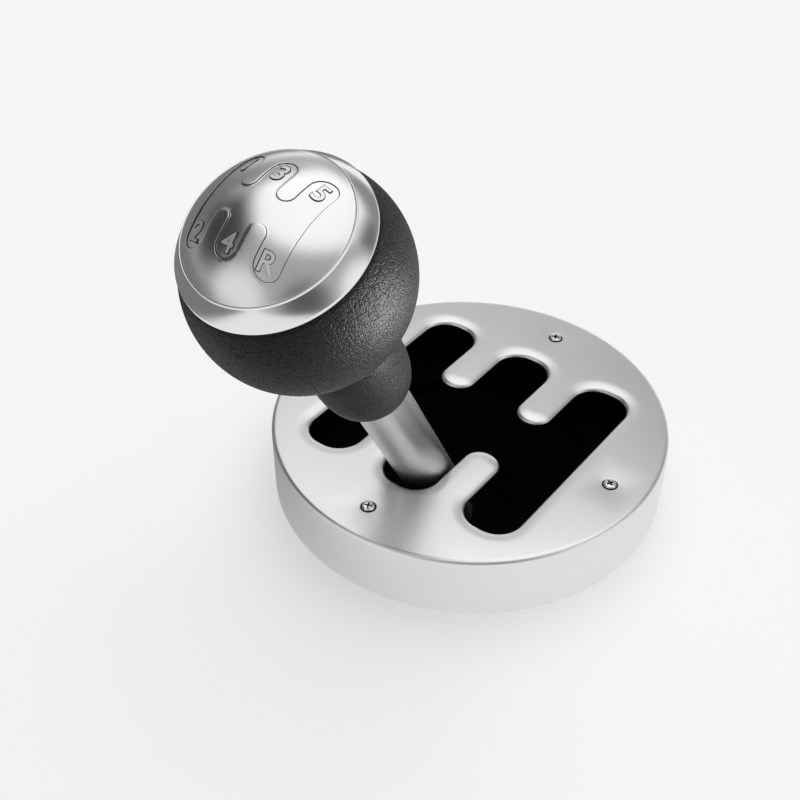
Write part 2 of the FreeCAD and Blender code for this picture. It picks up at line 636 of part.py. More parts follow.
def make_lever_shaft():
    """Forged lever: stud, shaft, neck, shank through the ball, flat blade and linkage eye."""
    body = new_body("lever_shaft")
    turned(body, [("0", "-(blade_top + 2)"), ("shank_radius", "-(blade_top + 2)"),
                  ("shank_radius", "pivot_flat"), ("neck_radius", "pivot_flat"),
                  ("neck_radius", "neck_top"), ("shaft_radius", "neck_top + 4"),
                  ("shaft_radius", "knob_height - stud_foot - 0.6"),
                  ("shaft_radius - 0.6", "knob_height - stud_foot"),
                  ("stud_radius", "knob_height - stud_foot"),
                  ("stud_radius", "knob_height - stud_top - 0.8"),
                  ("stud_radius - 0.8", "knob_height - stud_top"), ("0", "knob_height - stud_top")])
    blade = new_sketch(body, "blade", "YZ_Plane")
    box_outline(blade, "-blade_half", "blade_half", "-eye_drop", "-blade_top")
    flat = padded(body, blade, f"2 * {BLADE_HALF_THICK}", both=True)
    top = number("-blade_top")
    half = number("blade_half")
    shoulders = rounded(body, flat, "blade_round",
                        lambda edge: abs(edge.CenterOfMass.z - top) < 0.01
                        and abs(abs(edge.CenterOfMass.y) - half) < 0.01, "shoulders")
    eye = new_sketch(body, "eye", "YZ_Plane")
    disc(eye, "0", "-eye_drop", "eye_radius")
    padded(body, eye, f"2 * {BLADE_HALF_THICK}", both=True)
    bore = new_sketch(body, "eye_bore", "YZ_Plane")
    disc(bore, "0", "-eye_drop", "bush_radius + thread_gap")
    cut(body, bore, f"2 * {BLADE_HALF_THICK} + 2", both=True)
    return at_pivot(body, True)


def make_linkage_bush():
    """Plain bush in the lever's eye for the shift rod's pin."""
    body = new_body("linkage_bush")
    sketch = new_sketch(body, "ring", "YZ_Plane")
    disc(sketch, "0", "-eye_drop", "bush_radius")
    disc(sketch, "0", "-eye_drop", "bush_bore")
    padded(body, sketch, f"2 * {BLADE_HALF_THICK}", both=True)
    return at_pivot(body, True)


def make_pivot_ball():
    """Nylon ball moulded on the lever's shank."""
    body = new_body("pivot_ball")
    bore = "shank_radius + thread_gap"
    edge = "sqrt(pivot_radius ^ 2 - (pivot_flat - thread_gap) ^ 2)"
    turned(body, [(bore, "-(pivot_flat - thread_gap)"),
                  (edge, "-(pivot_flat - thread_gap)", ("0", "0", 1)),
                  (PLUS, "pivot_flat - thread_gap"), (bore, "pivot_flat - thread_gap")])
    return at_pivot(body, True)


def of_knob(text):
    """Give a size of the knob's top in proportion to the ball."""
    return f"({text}) * knob_radius / knob_reference"


def above_knob(text):
    """Give a height above the knob's centre, in proportion, as a height above the pivot."""
    return f"knob_height + {of_knob(text)}"


def below_knob(text):
    """Give a depth under the knob's centre as a height above the pivot."""
    return f"knob_height - ({text})"


def make_knob_inside():
    """Moulded core, its brass insert, and the jam nut under it."""
    centre = ("0", "knob_height")
    shell = "knob_radius - leather_thick - core_gap"
    core = new_body("knob_core")
    bore = "insert_radius + thread_gap"
    stub_bore = f"{of_knob('cap_stub')} + thread_gap"
    insert_roof = below_knob("insert_top - thread_gap")
    stub_floor = above_knob("cap_stub_foot - stub_room")
    turned(core, [(bore, below_knob(CORE_FOOT)),
                  (f"sqrt(({shell}) ^ 2 - ({CORE_FOOT}) ^ 2)", below_knob(CORE_FOOT),
                   (*centre, 1)),
                  (PLUS, above_knob("core_table")),
                  (of_knob("core_boss_radius"), above_knob("core_table")),
                  (of_knob("core_boss_radius"), above_knob("core_boss_top")),
                  (stub_bore, above_knob("core_boss_top")), (stub_bore, stub_floor),
                  ("0", stub_floor), ("0", insert_roof), (bore, insert_roof)])
    insert = new_body("threaded_insert")
    stud = "stud_radius + thread_gap"
    roof = below_knob("insert_top + insert_roof")
    turned(insert, [(stud, below_knob("insert_foot")), ("insert_radius", below_knob("insert_foot")),
                    ("insert_radius", below_knob("insert_top")), ("0", below_knob("insert_top")),
                    ("0", roof), (stud, roof)])
    nut = new_body("jam_nut")
    sketch = new_sketch(nut, "hexagon", "XY_Plane", below_knob("stud_foot - thread_gap"))
    side = "nut_half / sqrt(3)"
    outline(sketch, [("nut_half", f"-({side})"), ("nut_half", side), ("0", f"2 * {side}"),
                     ("-nut_half", side), ("-nut_half", f"-({side})"), ("0", f"-(2 * {side})")])
    disc(sketch, "0", "0", stud)
    padded(nut, sketch, "nut_thick")
    for piece in (core, insert, nut):
        at_pivot(piece, True)


def make_knob_skin():
    """Leather over the ball, and the sleeve with its own leather collar under it."""
    centre = ("0", "knob_height")
    inner = "knob_radius - leather_thick"
    cover = new_body("leather_cover")
    table = of_knob("core_table")
    turned(cover, [(LEATHER_MOUTH, below_knob(f"sqrt(({inner}) ^ 2 - {LEATHER_MOUTH} ^ 2)"),
                    (*centre, 1)),
                   (PLUS, above_knob("core_table")),
                   (f"sqrt(knob_radius ^ 2 - ({table}) ^ 2)", above_knob("core_table"),
                    (*centre, -1)),
                   (PLUS, below_knob(LEATHER_LIP)), (LEATHER_MOUTH, below_knob(LEATHER_LIP))])
    sleeve = new_body("neck_sleeve")
    bore = "shaft_radius + sleeve_gap"
    foot = below_knob("collar_foot - collar_floor")
    room = below_knob("stud_foot - nut_thick - nut_room")
    throat = "insert_radius + insert_play"
    turned(sleeve, [(bore, foot), ("collar_mouth - collar_wall / 4", foot),
                    ("sleeve_radius", below_knob("collar_waist")),
                    ("sleeve_radius", below_knob(SLEEVE_TOP)), (throat, below_knob(SLEEVE_TOP)),
                    (throat, room), ("sleeve_bore", room),
                    ("sleeve_bore", below_knob("stud_foot + nut_room / 3")),
                    (bore, below_knob("stud_foot + nut_room"))])
    collar = new_body("neck_leather")
    floor = below_knob("collar_foot - collar_floor + core_gap")
    turned(collar, [(bore, below_knob("collar_foot")), ("collar_mouth", below_knob("collar_foot")),
                    ("collar_mouth + collar_belly", below_knob("collar_foot - collar_belly_rise")),
                    ("collar_radius - collar_tuck", below_knob("collar_waist + collar_tuck_drop")),
                    ("collar_radius", below_knob("collar_waist")),
                    ("collar_radius", below_knob(COLLAR_TOP)),
                    (LEATHER_MOUTH, below_knob(COLLAR_TOP)),
                    (LEATHER_MOUTH, below_knob("collar_waist")),
                    ("collar_mouth - collar_wall / 4 + core_gap", floor), (bore, floor)])
    for piece in (cover, sleeve, collar):
        at_pivot(piece, True)


def make_trim_ring():
    """Bevelled metal ring round the cap."""
    body = new_body("trim_ring")
    centre = ("0", "knob_height")
    foot = "sqrt(ring_dome ^ 2 - (ring_foot + ring_edge_high) ^ 2)"
    bore = of_knob("cap_radius + cap_gap")
    turned(body, [(of_knob("ring_seat"), above_knob("ring_foot")),
                  (of_knob("ring_edge"), above_knob("ring_foot")),
                  (of_knob(foot), above_knob("ring_foot + ring_edge_high"), (*centre, 1)),
                  (PLUS, above_knob("ring_top - lip_drop")),
                  (of_knob("cap_radius + cap_gap + lip_wide"), above_knob("ring_top + ring_lip")),
                  (bore, above_knob("ring_top + ring_lip - lip_drop")),
                  (bore, above_knob("cap_seat")), (of_knob("ring_seat"), above_knob("cap_seat"))])
    return at_pivot(body, True)


def groove_corners():
    """List the corners of the shift pattern, whose grooves end in half circles."""
    half = of_knob("pattern_width / 2")
    end = of_knob("pattern_reach - pattern_width / 2")
    tip = of_knob("(pattern_channel + pattern_pitch - pattern_width) / 2")
    corners = []
    for side, sign, turns in ((PLUS, "", "-"), (MINUS, "-", "")):
        for column in (-1, 0, 1):
            middle = f"({sign}{column} * {of_knob('pattern_pitch')})"
            corners += [(f"{middle} - {sign}{half}", f"{turns}({end})", (middle, f"{turns}({end})", 1)),
                        (side, f"{turns}({end})")]
            if column < 1:
                between = f"({sign}{column + 0.5} * {of_knob('pattern_pitch')})"
                corners += [(f"{middle} + {sign}{half}", f"{turns}({tip})",
                             (between, f"{turns}({tip})", -1)), (side, f"{turns}({tip})")]
    return corners


def make_pattern_cap():
    """Domed metal cap: its outer skin is cut to the shift pattern over the cap's lower floor."""
    body = new_body("pattern_cap")
    centre = ("0", above_knob("cap_top - cap_dome"))

    def dome_height(sunk, reach):
        return above_knob(f"sqrt((cap_dome - {sunk}) ^ 2 - ({reach}) ^ 2) + cap_top - cap_dome")

    edge = of_knob("cap_radius")
    turned(body, [("0", above_knob("cap_top"), (*centre, -1)), (edge, PLUS),
                  (edge, dome_height("pattern_depth", "cap_radius"), (*centre, 1)),
                  ("0", PLUS)], "skin")
    sketch = new_sketch(body, "pattern", "XY_Plane", above_knob("cap_top"))
    outline(sketch, groove_corners())
    cut(body, sketch, of_knob("cap_top - cap_seat"))
    skirt, seat = of_knob("cap_radius - cap_rim"), above_knob("cap_seat + thread_gap")
    turned(body, [("0", above_knob("cap_stub_foot")),
                  (of_knob("cap_stub"), above_knob("cap_stub_foot")),
                  (of_knob("cap_stub"), dome_height("cap_wall", "cap_stub"), (*centre, -1)),
                  (PLUS, dome_height("cap_wall", "cap_radius - cap_rim")),
                  (skirt, seat), (edge, seat),
                  (edge, dome_height("pattern_depth", "cap_radius"), (*centre, 1)),
                  ("0", PLUS)], "bowl")
    return at_pivot(body, True)


make_gate_cover()
screws("cover_screws", SCREW_CIRCLE, "screw_radius", "screw_head_radius", "screw_head_height",
       "screw_length", "plate_height - dimple_depth", True)
make_base_ring()
make_console_gasket()
make_pivot_housing()
screws("housing_screws", "housing_screw_circle", "housing_screw_radius", "housing_head_radius",
       "housing_head_height", "housing_screw_length", "gasket_thick - flange_thick", False)
make_cups()
for side, name in ((-1, "left"), (1, "right")):
    make_centring(side, name)
make_plunger_clips()
make_lever_shaft()
make_linkage_bush()
make_pivot_ball()
make_knob_inside()
make_knob_skin()
make_trim_ring()
make_pattern_cap()
document.recompute()

failed = [thing.Name for thing in document.Objects
          if "Invalid" in thing.State or "Error" in thing.State]
if failed:
    raise RuntimeError(f"objects that failed: {failed}")

pieces = [thing for thing in document.Objects if thing.isDerivedFrom("PartDesign::Body")]
for piece in pieces:
    if piece.Shape.isNull() or not piece.Shape.isValid():
        raise RuntimeError(f"{piece.Label} has no valid shape")

os.makedirs("parts", exist_ok=True)
for piece in pieces:
    piece.Shape.exportStep(f"parts/{piece.Label}.step")
    print(piece.Label, len(piece.Shape.Solids), "solids", round(piece.Shape.Volume, 1), "mm3")
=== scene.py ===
"""Looks of the gear shift knob, its lever and its open gate plate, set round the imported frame."""
import json
import logging
import math
from collections.abc import Callable
from dataclasses import dataclass, field
from enum import Enum

import bmesh
import bpy
from mathutils import Matrix, Vector
from mathutils.geometry import delaunay_2d_cdt


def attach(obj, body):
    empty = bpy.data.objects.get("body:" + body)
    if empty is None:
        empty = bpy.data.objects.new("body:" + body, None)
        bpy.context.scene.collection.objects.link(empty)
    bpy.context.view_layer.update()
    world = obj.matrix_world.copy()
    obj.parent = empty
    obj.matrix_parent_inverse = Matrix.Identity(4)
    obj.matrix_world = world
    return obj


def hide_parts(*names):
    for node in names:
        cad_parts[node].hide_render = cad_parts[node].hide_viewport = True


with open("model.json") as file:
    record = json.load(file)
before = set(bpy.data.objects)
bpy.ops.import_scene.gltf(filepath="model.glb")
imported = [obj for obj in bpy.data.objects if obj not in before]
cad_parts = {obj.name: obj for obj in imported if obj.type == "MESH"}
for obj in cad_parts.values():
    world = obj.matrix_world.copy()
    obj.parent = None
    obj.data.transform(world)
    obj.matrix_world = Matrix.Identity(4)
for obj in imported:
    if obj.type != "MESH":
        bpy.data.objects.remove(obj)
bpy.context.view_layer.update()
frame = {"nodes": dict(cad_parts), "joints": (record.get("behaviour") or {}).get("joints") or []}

MM = 0.001
TINY = 1e-9
TRIANGLE = 0.866  # the row spacing of an even triangle grid, in its pitch
LINES = "engraved_lines"  # the face attribute that marks faces dark as painted shade: screw seats, pattern walls, numeral outlines
# Blacker than any real finish: the parts' own black, deepened as painted shade so the gate's inside
# reads as a void.
DEEP_BLACK = (0.0006, 0.0006, 0.0006)
LOG = logging.getLogger("gear_shift_knob")


class Body(Enum):
    """The two bodies that the pieces ride on."""

    PLATE = "gate_base"
    LEVER = "lever"


class Column(Enum):
    """The three columns of the gate, by their place along X."""

    LEFT = -1
    MIDDLE = 0
    RIGHT = 1


class Row(Enum):
    """The two rows of gears, by their place along Y."""

    FAR = 1
    NEAR = -1


class Wire:
    """A shader value that can be used in plain arithmetic."""

    def __init__(self, tree: "Tree", socket: object) -> None:
        """Keep a socket and the tree it belongs to.

        Args:
            tree: The tree that new maths nodes go into.
            socket: The output socket that carries the value.
        """
        self.tree = tree
        self.socket = socket

    def _maths(self, operation: str, *values: object) -> "Wire":
        """Add one maths node.

        Args:
            operation: The maths node's operation.
            values: Its inputs in order, each a number or another value.

        Returns:
            The node's result.
        """
        return self.tree.add("ShaderNodeMath", {"operation": operation}, dict(enumerate(values)))

    def __add__(self, other: object) -> "Wire":
        """Return the sum."""
        return self._maths("ADD", self, other)

    __radd__ = __add__

    def __mul__(self, other: object) -> "Wire":
        """Return the product."""
        return self._maths("MULTIPLY", self, other)

    __rmul__ = __mul__

    def __sub__(self, other: object) -> "Wire":
        """Return the difference."""
        return self._maths("SUBTRACT", self, other)

    def __rsub__(self, other: object) -> "Wire":
        """Return the difference from a plain number."""
        return self._maths("SUBTRACT", other, self)

    def smooth(self, low: float, high: float) -> "Wire":
        """Ease from 0 at a low value to 1 at a high one.

        Args:
            low: The value that gives 0.
            high: The value that gives 1.

        Returns:
            The eased value.
        """
        return self.tree.add("ShaderNodeMapRange", {"interpolation_type": "SMOOTHSTEP"},
                             {"Value": self, "From Min": low, "From Max": high})


class Tree:
    """A node tree that is written as expressions."""

    def __init__(self, tree: bpy.types.NodeTree) -> None:
        """Empty a tree and take it over.

        Args:
            tree: The tree to write in.
        """
        self.tree = tree
        tree.nodes.clear()

    def add(self, kind: str, settings: dict | None = None, inputs: dict | None = None,
            output: int | str = 0) -> Wire:
        """Add a node.

        Args:
            kind: The node's type.
            settings: Its own settings.
            inputs: What its sockets get, each a plain value or a Wire.
            output: The output to return.

        Returns:
            The chosen output.
        """
        node = self.tree.nodes.new(kind)
        for name, value in (settings or {}).items():
            setattr(node, name, value)
        for name, value in (inputs or {}).items():
            socket = node.inputs[name]
            if isinstance(value, Wire):
                self.tree.links.new(value.socket, socket)
            else:
                socket.default_value = value
        return Wire(self, node.outputs[output] if node.outputs else node)

    def place(self, stretch: tuple[float, float, float] = (1, 1, 1)) -> Wire:
        """Give the place on the object, in metres.

        Args:
            stretch: How much each axis is scaled.

        Returns:
            The place as a vector.
        """
        spot = self.add("ShaderNodeTexCoord", output="Object")
        return self.add("ShaderNodeMapping", None, {"Vector": spot, "Scale": stretch})

    def noise(self, spot: Wire, scale: float, detail: float, rough: float = 0.5) -> Wire:
        """Give smooth noise.

        Args:
            spot: Where it is read.
            scale: Waves for each metre.
            detail: How many finer layers it has.
            rough: How strong the finer layers are.

        Returns:
            The noise, about 0 to 1.
        """
        return self.add("ShaderNodeTexNoise", None,
                        {"Vector": spot, "Scale": scale, "Detail": detail, "Roughness": rough})

    def blend(self, share: object, low: tuple, high: tuple) -> Wire:
        """Mix two colours.

        Args:
            share: 0 gives the first, 1 the second.
            low: The first colour, or a Wire.
            high: The second colour, or a Wire.

        Returns:
            The mixed colour.
        """
        return self.add("ShaderNodeMix", {"data_type": "RGBA"}, {0: share, 6: low, 7: high}, 2)

    def bump(self, height: Wire, depth: float) -> Wire:
        """Turn heights into a normal.

        Args:
            height: The height, where 1 stands for the depth.
            depth: The height's size in metres.

        Returns:
            The bumped normal.
        """
        return self.add("ShaderNodeBump", None,
                        {"Height": height, "Distance": depth, "Strength": 1.0})


def grey(value: float) -> tuple[float, float, float, float]:
    """Give a neutral colour of one linear value."""
    return (value, value, value, 1.0)


def finished(name: str, sockets: dict[str, float],
             links: dict[str, Callable[[Tree], Wire]]) -> bpy.types.Material:
    """Start a material with plain values, ready for its links.

    Args:
        name: The material's name.
        sockets: Plain values of the shader's sockets.
        links: A function for each varying socket, which gets the tree and returns its wire.

    Returns:
        The material.
    """
    material = bpy.data.materials.new(name)
    material.use_nodes = True
    tree = Tree(material.node_tree)
    values = dict(sockets)
    values.update({socket: build(tree) for socket, build in links.items()})
    shader = tree.add("ShaderNodeBsdfPrincipled", None, values)
    tree.add("ShaderNodeOutputMaterial", None, {"Surface": shader})
    return material


@dataclass(frozen=True)
class SatinMetal:
    """Metal with a fine even grain and a faint cloudiness in its colour and gloss.

    It can be black below a height as painted shade, as the plate's inner faces are, and dark
    on faces that are marked for painted shade.
    """

    name: str
    colour: float
    rough: float
    shade_black_below: float | None = None
    marked_shade: float | None = None
    cloud_waves: float = 60.0
    cloud_share: float = 0.03
    gloss_waves: float = 900.0
    gloss_share: float = 0.08
    grain_waves: float = 9000.0
    grain_depth: float = 0.001 * MM
    black_edge: float = 0.15 * MM
    bare_from: float = 48.0 * MM
    bare_to: float = 49.0 * MM

    def material(self) -> bpy.types.Material:
        """Build the metal.

        Returns:
            The material.
        """
        links = {"Base Color": self._shade, "Roughness": self._gloss, "Normal": self._grain}
        if self.shade_black_below is not None:
            links["Metallic"] = self._bare
        return finished(self.name, {"Metallic": 1.0}, links)

    def _shade(self, tree: Tree) -> Wire:
        """Give the metal's colour.

        Args:
            tree: The material's tree.

        Returns:
            The colour, with its places of painted shade.
        """
        cloud = tree.noise(tree.place(), self.cloud_waves, 2)
        metal = tree.blend(cloud, grey(self.colour * (1 - self.cloud_share)),
                           grey(min(1.0, self.colour * (1 + self.cloud_share))))
        # Painted shade: faces marked in the attribute take the dark colour.
        if self.marked_shade is not None:
            lines = tree.add("ShaderNodeAttribute", {"attribute_name": LINES}, None, "Fac")
            metal = tree.blend(lines, metal, grey(self.marked_shade))
        # Painted shade: below the given height the metal turns black.
        if self.shade_black_below is None:
            return metal
        return tree.blend(self._bare(tree), grey(0.0), metal)

    def _gloss(self, tree: Tree) -> Wire:
        """Give the roughness, which varies a little to both sides."""
        noise = tree.noise(tree.place(), self.gloss_waves, 3)
        return self.rough * (1 - self.gloss_share) + noise * (self.rough * 2 * self.gloss_share)

    def _grain(self, tree: Tree) -> Wire:
        """Give the normal of the fine grain."""
        return tree.bump(tree.noise(tree.place(), self.grain_waves, 2), self.grain_depth)

    def _bare(self, tree: Tree) -> Wire:
        """Tell the bare metal from the inner faces, which are black as painted shade.

        Args:
            tree: The material's tree.

        Returns:
            1 above the painted height and on the outer wall, 0 elsewhere.
        """
        height = tree.add("ShaderNodeSeparateXYZ", None, {0: tree.place()}, "Z")
        reach = tree.add("ShaderNodeVectorMath", {"operation": "LENGTH"},
                         {0: tree.place((1, 1, 0))}, "Value")
        above = height.smooth(self.shade_black_below, self.shade_black_below + self.black_edge)
        outside = reach.smooth(self.bare_from, self.bare_to)
        return above + outside - above * outside


@dataclass(frozen=True)
class Leather:
    """Dyed leather with creased grain, coarser towards the far end of its axis."""

    name: str
    dark: float
    pale: float
    cells: float
    depth: float = 0.045 * MM
    axis: tuple[float, float, float] = (0, 0, 1)
    coarse_from: float = 1.0
    coarse_to: float = 2.0
    warp_waves: float = 260.0
    warp_reach: float = 1.6 * MM
    fine_edge: float = 0.22
    fine_lost: float = 0.55
    coarse_cells: float = 0.45
    coarse_edge: float = 0.12
    coarse_least: float = 0.25
    pore_cells: float = 3.2
    pore_share: float = 0.35
    # Painted shade: grain heights over which the colour eases from dark in the creases to pale.
    crease_painted_shade: tuple[float, float] = (0.25, 0.9)
    dull: float = 0.61
    shine: float = 0.22
    shine_heights: tuple[float, float] = (0.2, 1.0)
    specular: float = 0.14

    def material(self) -> bpy.types.Material:
        """Build the leather.

        Returns:
            The material.
        """
        return finished(self.name, {"Metallic": 0.0, "Specular IOR Level": self.specular},
                        {"Base Color": self._shade, "Roughness": self._gloss,
                         "Normal": self._relief})

    def _shade(self, tree: Tree) -> Wire:
        """Give the colour, darkened in the creases as painted shade."""
        creases = self._height(tree).smooth(*self.crease_painted_shade)
        return tree.blend(creases, grey(self.dark), grey(self.pale))

    def _gloss(self, tree: Tree) -> Wire:
        """Give the roughness, lower on the worn tops of the grain."""
        return self.dull - self._height(tree).smooth(*self.shine_heights) * self.shine

    def _relief(self, tree: Tree) -> Wire:
        """Give the normal of the grain."""
        return tree.bump(self._height(tree), self.depth)

    def _height(self, tree: Tree) -> Wire:
        """Give the height of the grain.

        Args:
            tree: The material's tree.

        Returns:
            The height, about 0 in the creases and 1 between them.
        """
        spot = tree.place()
        warp = tree.add("ShaderNodeTexNoise", None,
                        {"Vector": spot, "Scale": self.warp_waves, "Detail": 2}, "Color")
        pushed = tree.add("ShaderNodeVectorMath", {"operation": "MULTIPLY_ADD"},
                          {0: warp, 1: (self.warp_reach,) * 3, 2: spot})
        fine = self._creases(tree, pushed, self.cells, self.fine_edge)
        coarse = self._creases(tree, pushed, self.cells * self.coarse_cells, self.coarse_edge)
        mask = self._coarse(tree, spot)
        pores = tree.noise(spot, self.cells * self.pore_cells, 2, 0.6)
        return (fine * (1 - mask * self.fine_lost)
                + coarse * (self.coarse_least + mask * (1 - self.coarse_least))
                + pores * self.pore_share)

    def _creases(self, tree: Tree, spot: Wire, cells: float, edge: float) -> Wire:
        """Give one net of creases.

        Args:
            tree: The material's tree.
            spot: Where it is read.
            cells: Cells for each metre.
            edge: How far a crease reaches into a cell.

        Returns:
            0 in a crease, easing to 1 inside a cell.
        """
        return tree.add("ShaderNodeTexVoronoi", {"feature": "DISTANCE_TO_EDGE"},
                        {"Vector": spot, "Scale": cells}).smooth(0.0, edge)

    def _coarse(self, tree: Tree, spot: Wire) -> Wire:
        """Give how coarse the grain is at a place.

        Args:
            tree: The material's tree.
            spot: The place.

        Returns:
            0 where it is fine, easing to 1 where it is coarse.
        """
        along = tree.add("ShaderNodeVectorMath", {"operation": "DOT_PRODUCT"},
                         {0: spot, 1: self.axis}, "Value")
        return along.smooth(self.coarse_from, self.coarse_to)


@dataclass(frozen=True)
class Moulded:
    """Moulded plastic or rubber, or a coat of paint, with a faint texture."""

    name: str
    colour: tuple[float, float, float]
    rough: float
    depth: float = 0.02 * MM
    metal: float = 0.0
    specular: float = 0.5
    tint_waves: float = 300.0
    tint_share: float = 0.15
    gloss_waves: float = 700.0
    gloss_share: float = 0.1
    texture_waves: float = 1800.0

    def material(self) -> bpy.types.Material:
        """Build the plastic.

        Returns:
            The material.
        """
        return finished(self.name, {"Metallic": self.metal, "Specular IOR Level": self.specular},
                        {"Base Color": self._shade, "Roughness": self._gloss,
                         "Normal": self._relief})

    def _shade(self, tree: Tree) -> Wire:
        """Give the faintly cloudy colour."""
        low, high = (tuple(min(1.0, part * share) for part in self.colour) + (1.0,)
                     for share in (1 - self.tint_share, 1 + self.tint_share))
        return tree.blend(tree.noise(tree.place(), self.tint_waves, 3), low, high)

    def _gloss(self, tree: Tree) -> Wire:
        """Give the roughness, which varies a little to both sides."""
        noise = tree.noise(tree.place(), self.gloss_waves, 2)
        return self.rough * (1 - self.gloss_share) + noise * (self.rough * 2 * self.gloss_share)

    def _relief(self, tree: Tree) -> Wire:
        """Give the normal of the fine texture."""
        return tree.bump(tree.noise(tree.place(), self.texture_waves, 2), self.depth)


def in_scene(name: str, data: bpy.types.ID) -> bpy.types.Object:
    """Put a mesh, curve, lamp or camera into the scene.

    Args:
        name: The object's name.
        data: What it holds.

    Returns:
        The object.
    """
    item = bpy.data.objects.new(name, data)
    bpy.context.scene.collection.objects.link(item)
    return item


def settled(item: bpy.types.Object) -> bpy.types.Mesh:
    """Give an object's final shape, with its modifiers worked in.

    Args:
        item: The object, which is left as it is.

    Returns:
        A plain mesh.
    """
    bpy.context.view_layer.update()
    graph = bpy.context.evaluated_depsgraph_get()
    return bpy.data.meshes.new_from_object(item.evaluated_get(graph))


def new_piece(name: str, mesh: bpy.types.Mesh, material: bpy.types.Material, body: Body,
              nodes: tuple[str, ...] = ()) -> bpy.types.Object:
    """Put a finished mesh into the scene as a piece.

    Args:
        name: The piece's name.
        mesh: Its mesh, already in its place.
        material: Its finish.
        body: The body it rides on.
        nodes: The frame's nodes it stands for.

    Returns:
        The piece.
    """
    mesh.materials.clear()
    mesh.materials.append(material)
    piece = in_scene(name, mesh)
    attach(piece, body.value)
    if nodes:
        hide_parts(*nodes)
    LOG.info("%s: %d faces on %s", name, len(mesh.polygons), body.value)
    return piece


def smooth_mesh(form: bmesh.types.BMesh, name: str, sharp: float = 40.0) -> bpy.types.Mesh:
    """Turn a form into a smooth mesh whose hard corners stay crisp.

    Args:
        form: The form, which is freed.
        name: The mesh's name.
        sharp: The angle in degrees over which an edge stays crisp.

    Returns:
        The mesh.
    """
    mesh = bpy.data.meshes.new(name)
    form.to_mesh(mesh)
    form.free()
    mesh.shade_smooth()
    mesh.set_sharp_from_angle(angle=math.radians(sharp))
    return mesh


def arc(centre: tuple[float, float], radius: float, start: float, end: float,
        count: int) -> list[tuple[float, float]]:
    """Give points on an arc.

    Args:
        centre: Its centre.
        radius: Its radius.
        start: The first point's angle in degrees.
        end: The last point's angle in degrees.
        count: How many points it has.

    Returns:
        The points, ends included.
    """
    turns = [math.radians(start + (end - start) * step / (count - 1)) for step in range(count)]
    return [(centre[0] + radius * math.cos(turn), centre[1] + radius * math.sin(turn))
            for turn in turns]


def softened(corners: list[tuple[float, float, float]],
             steps: int = 5) -> list[tuple[float, float]]:
    """Round the corners of a profile.

    Args:
        corners: Each corner's place and its rounding radius.
        steps: Points on each rounding.

    Returns:
        The profile's points.
    """
    points = []
    longest = 0.49  # the share of a side that one rounding may take
    for index, (across, up, radius) in enumerate(corners):
        spot = Vector((across, up))
        before = Vector(corners[index - 1][:2]) - spot
        after = Vector(corners[(index + 1) % len(corners)][:2]) - spot
        if radius <= 0 or min(before.length, after.length) < TINY:
            points.append((across, up))
            continue
        half = before.angle(after) / 2
        reach = min(radius / math.tan(half), before.length * longest, after.length * longest)
        radius = reach * math.tan(half)
        inward = (before.normalized() + after.normalized()).normalized()
        middle = spot + inward * radius / math.sin(half)
        first, last = spot + before.normalized() * reach, spot + after.normalized() * reach
        for step in range(steps + 1):
            share = step / steps
            way = (first - middle).lerp(last - middle, share).normalized()
            points.append(tuple(middle + way * radius))
    return points


def turned(profile: list[tuple[float, float]], place: Matrix, name: str, around: int,
           closed: bool = True, sharp: float = 40.0) -> bpy.types.Mesh:
    """Revolve a profile about its upright axis.

    Args:
        profile: Points as distance from the axis and height.
        place: Where the axis stands.
        name: The mesh's name.
        around: Steps round the axis.
        closed: Whether the last point joins the first.
        sharp: The angle in degrees over which an edge stays crisp.

    Returns:
        The mesh.
    """
    form = bmesh.new()
    rings = []
    for reach, height in profile:
        if reach < 1e-7:
            rings.append([form.verts.new((0, 0, height))])
            continue
        ring = []
        for step in range(around):
            turn = math.tau * step / around
            ring.append(form.verts.new((reach * math.cos(turn), reach * math.sin(turn), height)))
        rings.append(ring)
    pairs = list(zip(rings, rings[1:]))
    if closed:
        pairs.append((rings[-1], rings[0]))
    for lower, upper in pairs:
        for step in range(around):
            after = (step + 1) % around
            corners = [lower[step % len(lower)], lower[after % len(lower)],
                       upper[after % len(upper)], upper[step % len(upper)]]
            unique = list(dict.fromkeys(corners))
            if len(unique) > 2:
                form.faces.new(unique)
    bmesh.ops.recalc_face_normals(form, faces=form.faces)
    form.transform(place)
    return smooth_mesh(form, name, sharp)


@dataclass
class Loop:
    """A closed outline in the plane, with the way into the metal at each point."""

    points: list[Vector] = field(default_factory=list)
    ways: list[Vector] = field(default_factory=list)

    def moved(self, distance: float) -> list[Vector]:
        """Give the outline moved into the metal.

        Args:
            distance: How far it moves.

        Returns:
            The moved points.
        """
        return [point + way * distance for point, way in zip(self.points, self.ways)]


def rounded_loop(corners: list[tuple[float, float, float]], step: float, arc_steps: int) -> Loop:
    """Draw an outline with rounded corners, anticlockwise, with the metal outside it.

    Args:
        corners: Each corner's place and radius, in order.
        step: The longest piece of a straight stretch.
        arc_steps: Pieces on each corner.

    Returns:
        The outline.
    """
    loop = Loop()
    ends = []
    for index, (across, up, radius) in enumerate(corners):
        spot = Vector((across, up))
        before = (Vector(corners[index - 1][:2]) - spot).normalized()
        after = (Vector(corners[(index + 1) % len(corners)][:2]) - spot).normalized()
        half = before.angle(after) / 2
        inward = (before + after).normalized()
        middle = spot + inward * radius / math.sin(half)
        start = spot + before * radius / math.tan(half)
        end = spot + after * radius / math.tan(half)
        outer_corner = before.x * after.y - before.y * after.x < 0
        ends.append((start, end, middle, outer_corner))
    for index, (start, end, middle, outer_corner) in enumerate(ends):
        sign = 1 if outer_corner else -1
        for piece in range(arc_steps + 1):
            way = (start - middle).lerp(end - middle, piece / arc_steps).normalized()
            loop.points.append(middle + way * (start - middle).length)
            loop.ways.append(way * sign)
        target = ends[(index + 1) % len(ends)][0]
        gap = target - end
        count = max(1, round(gap.length / step))
        normal = loop.ways[-1]
        for piece in range(1, count):
            loop.points.append(end + gap * piece / count)
            loop.ways.append(normal)
    return loop


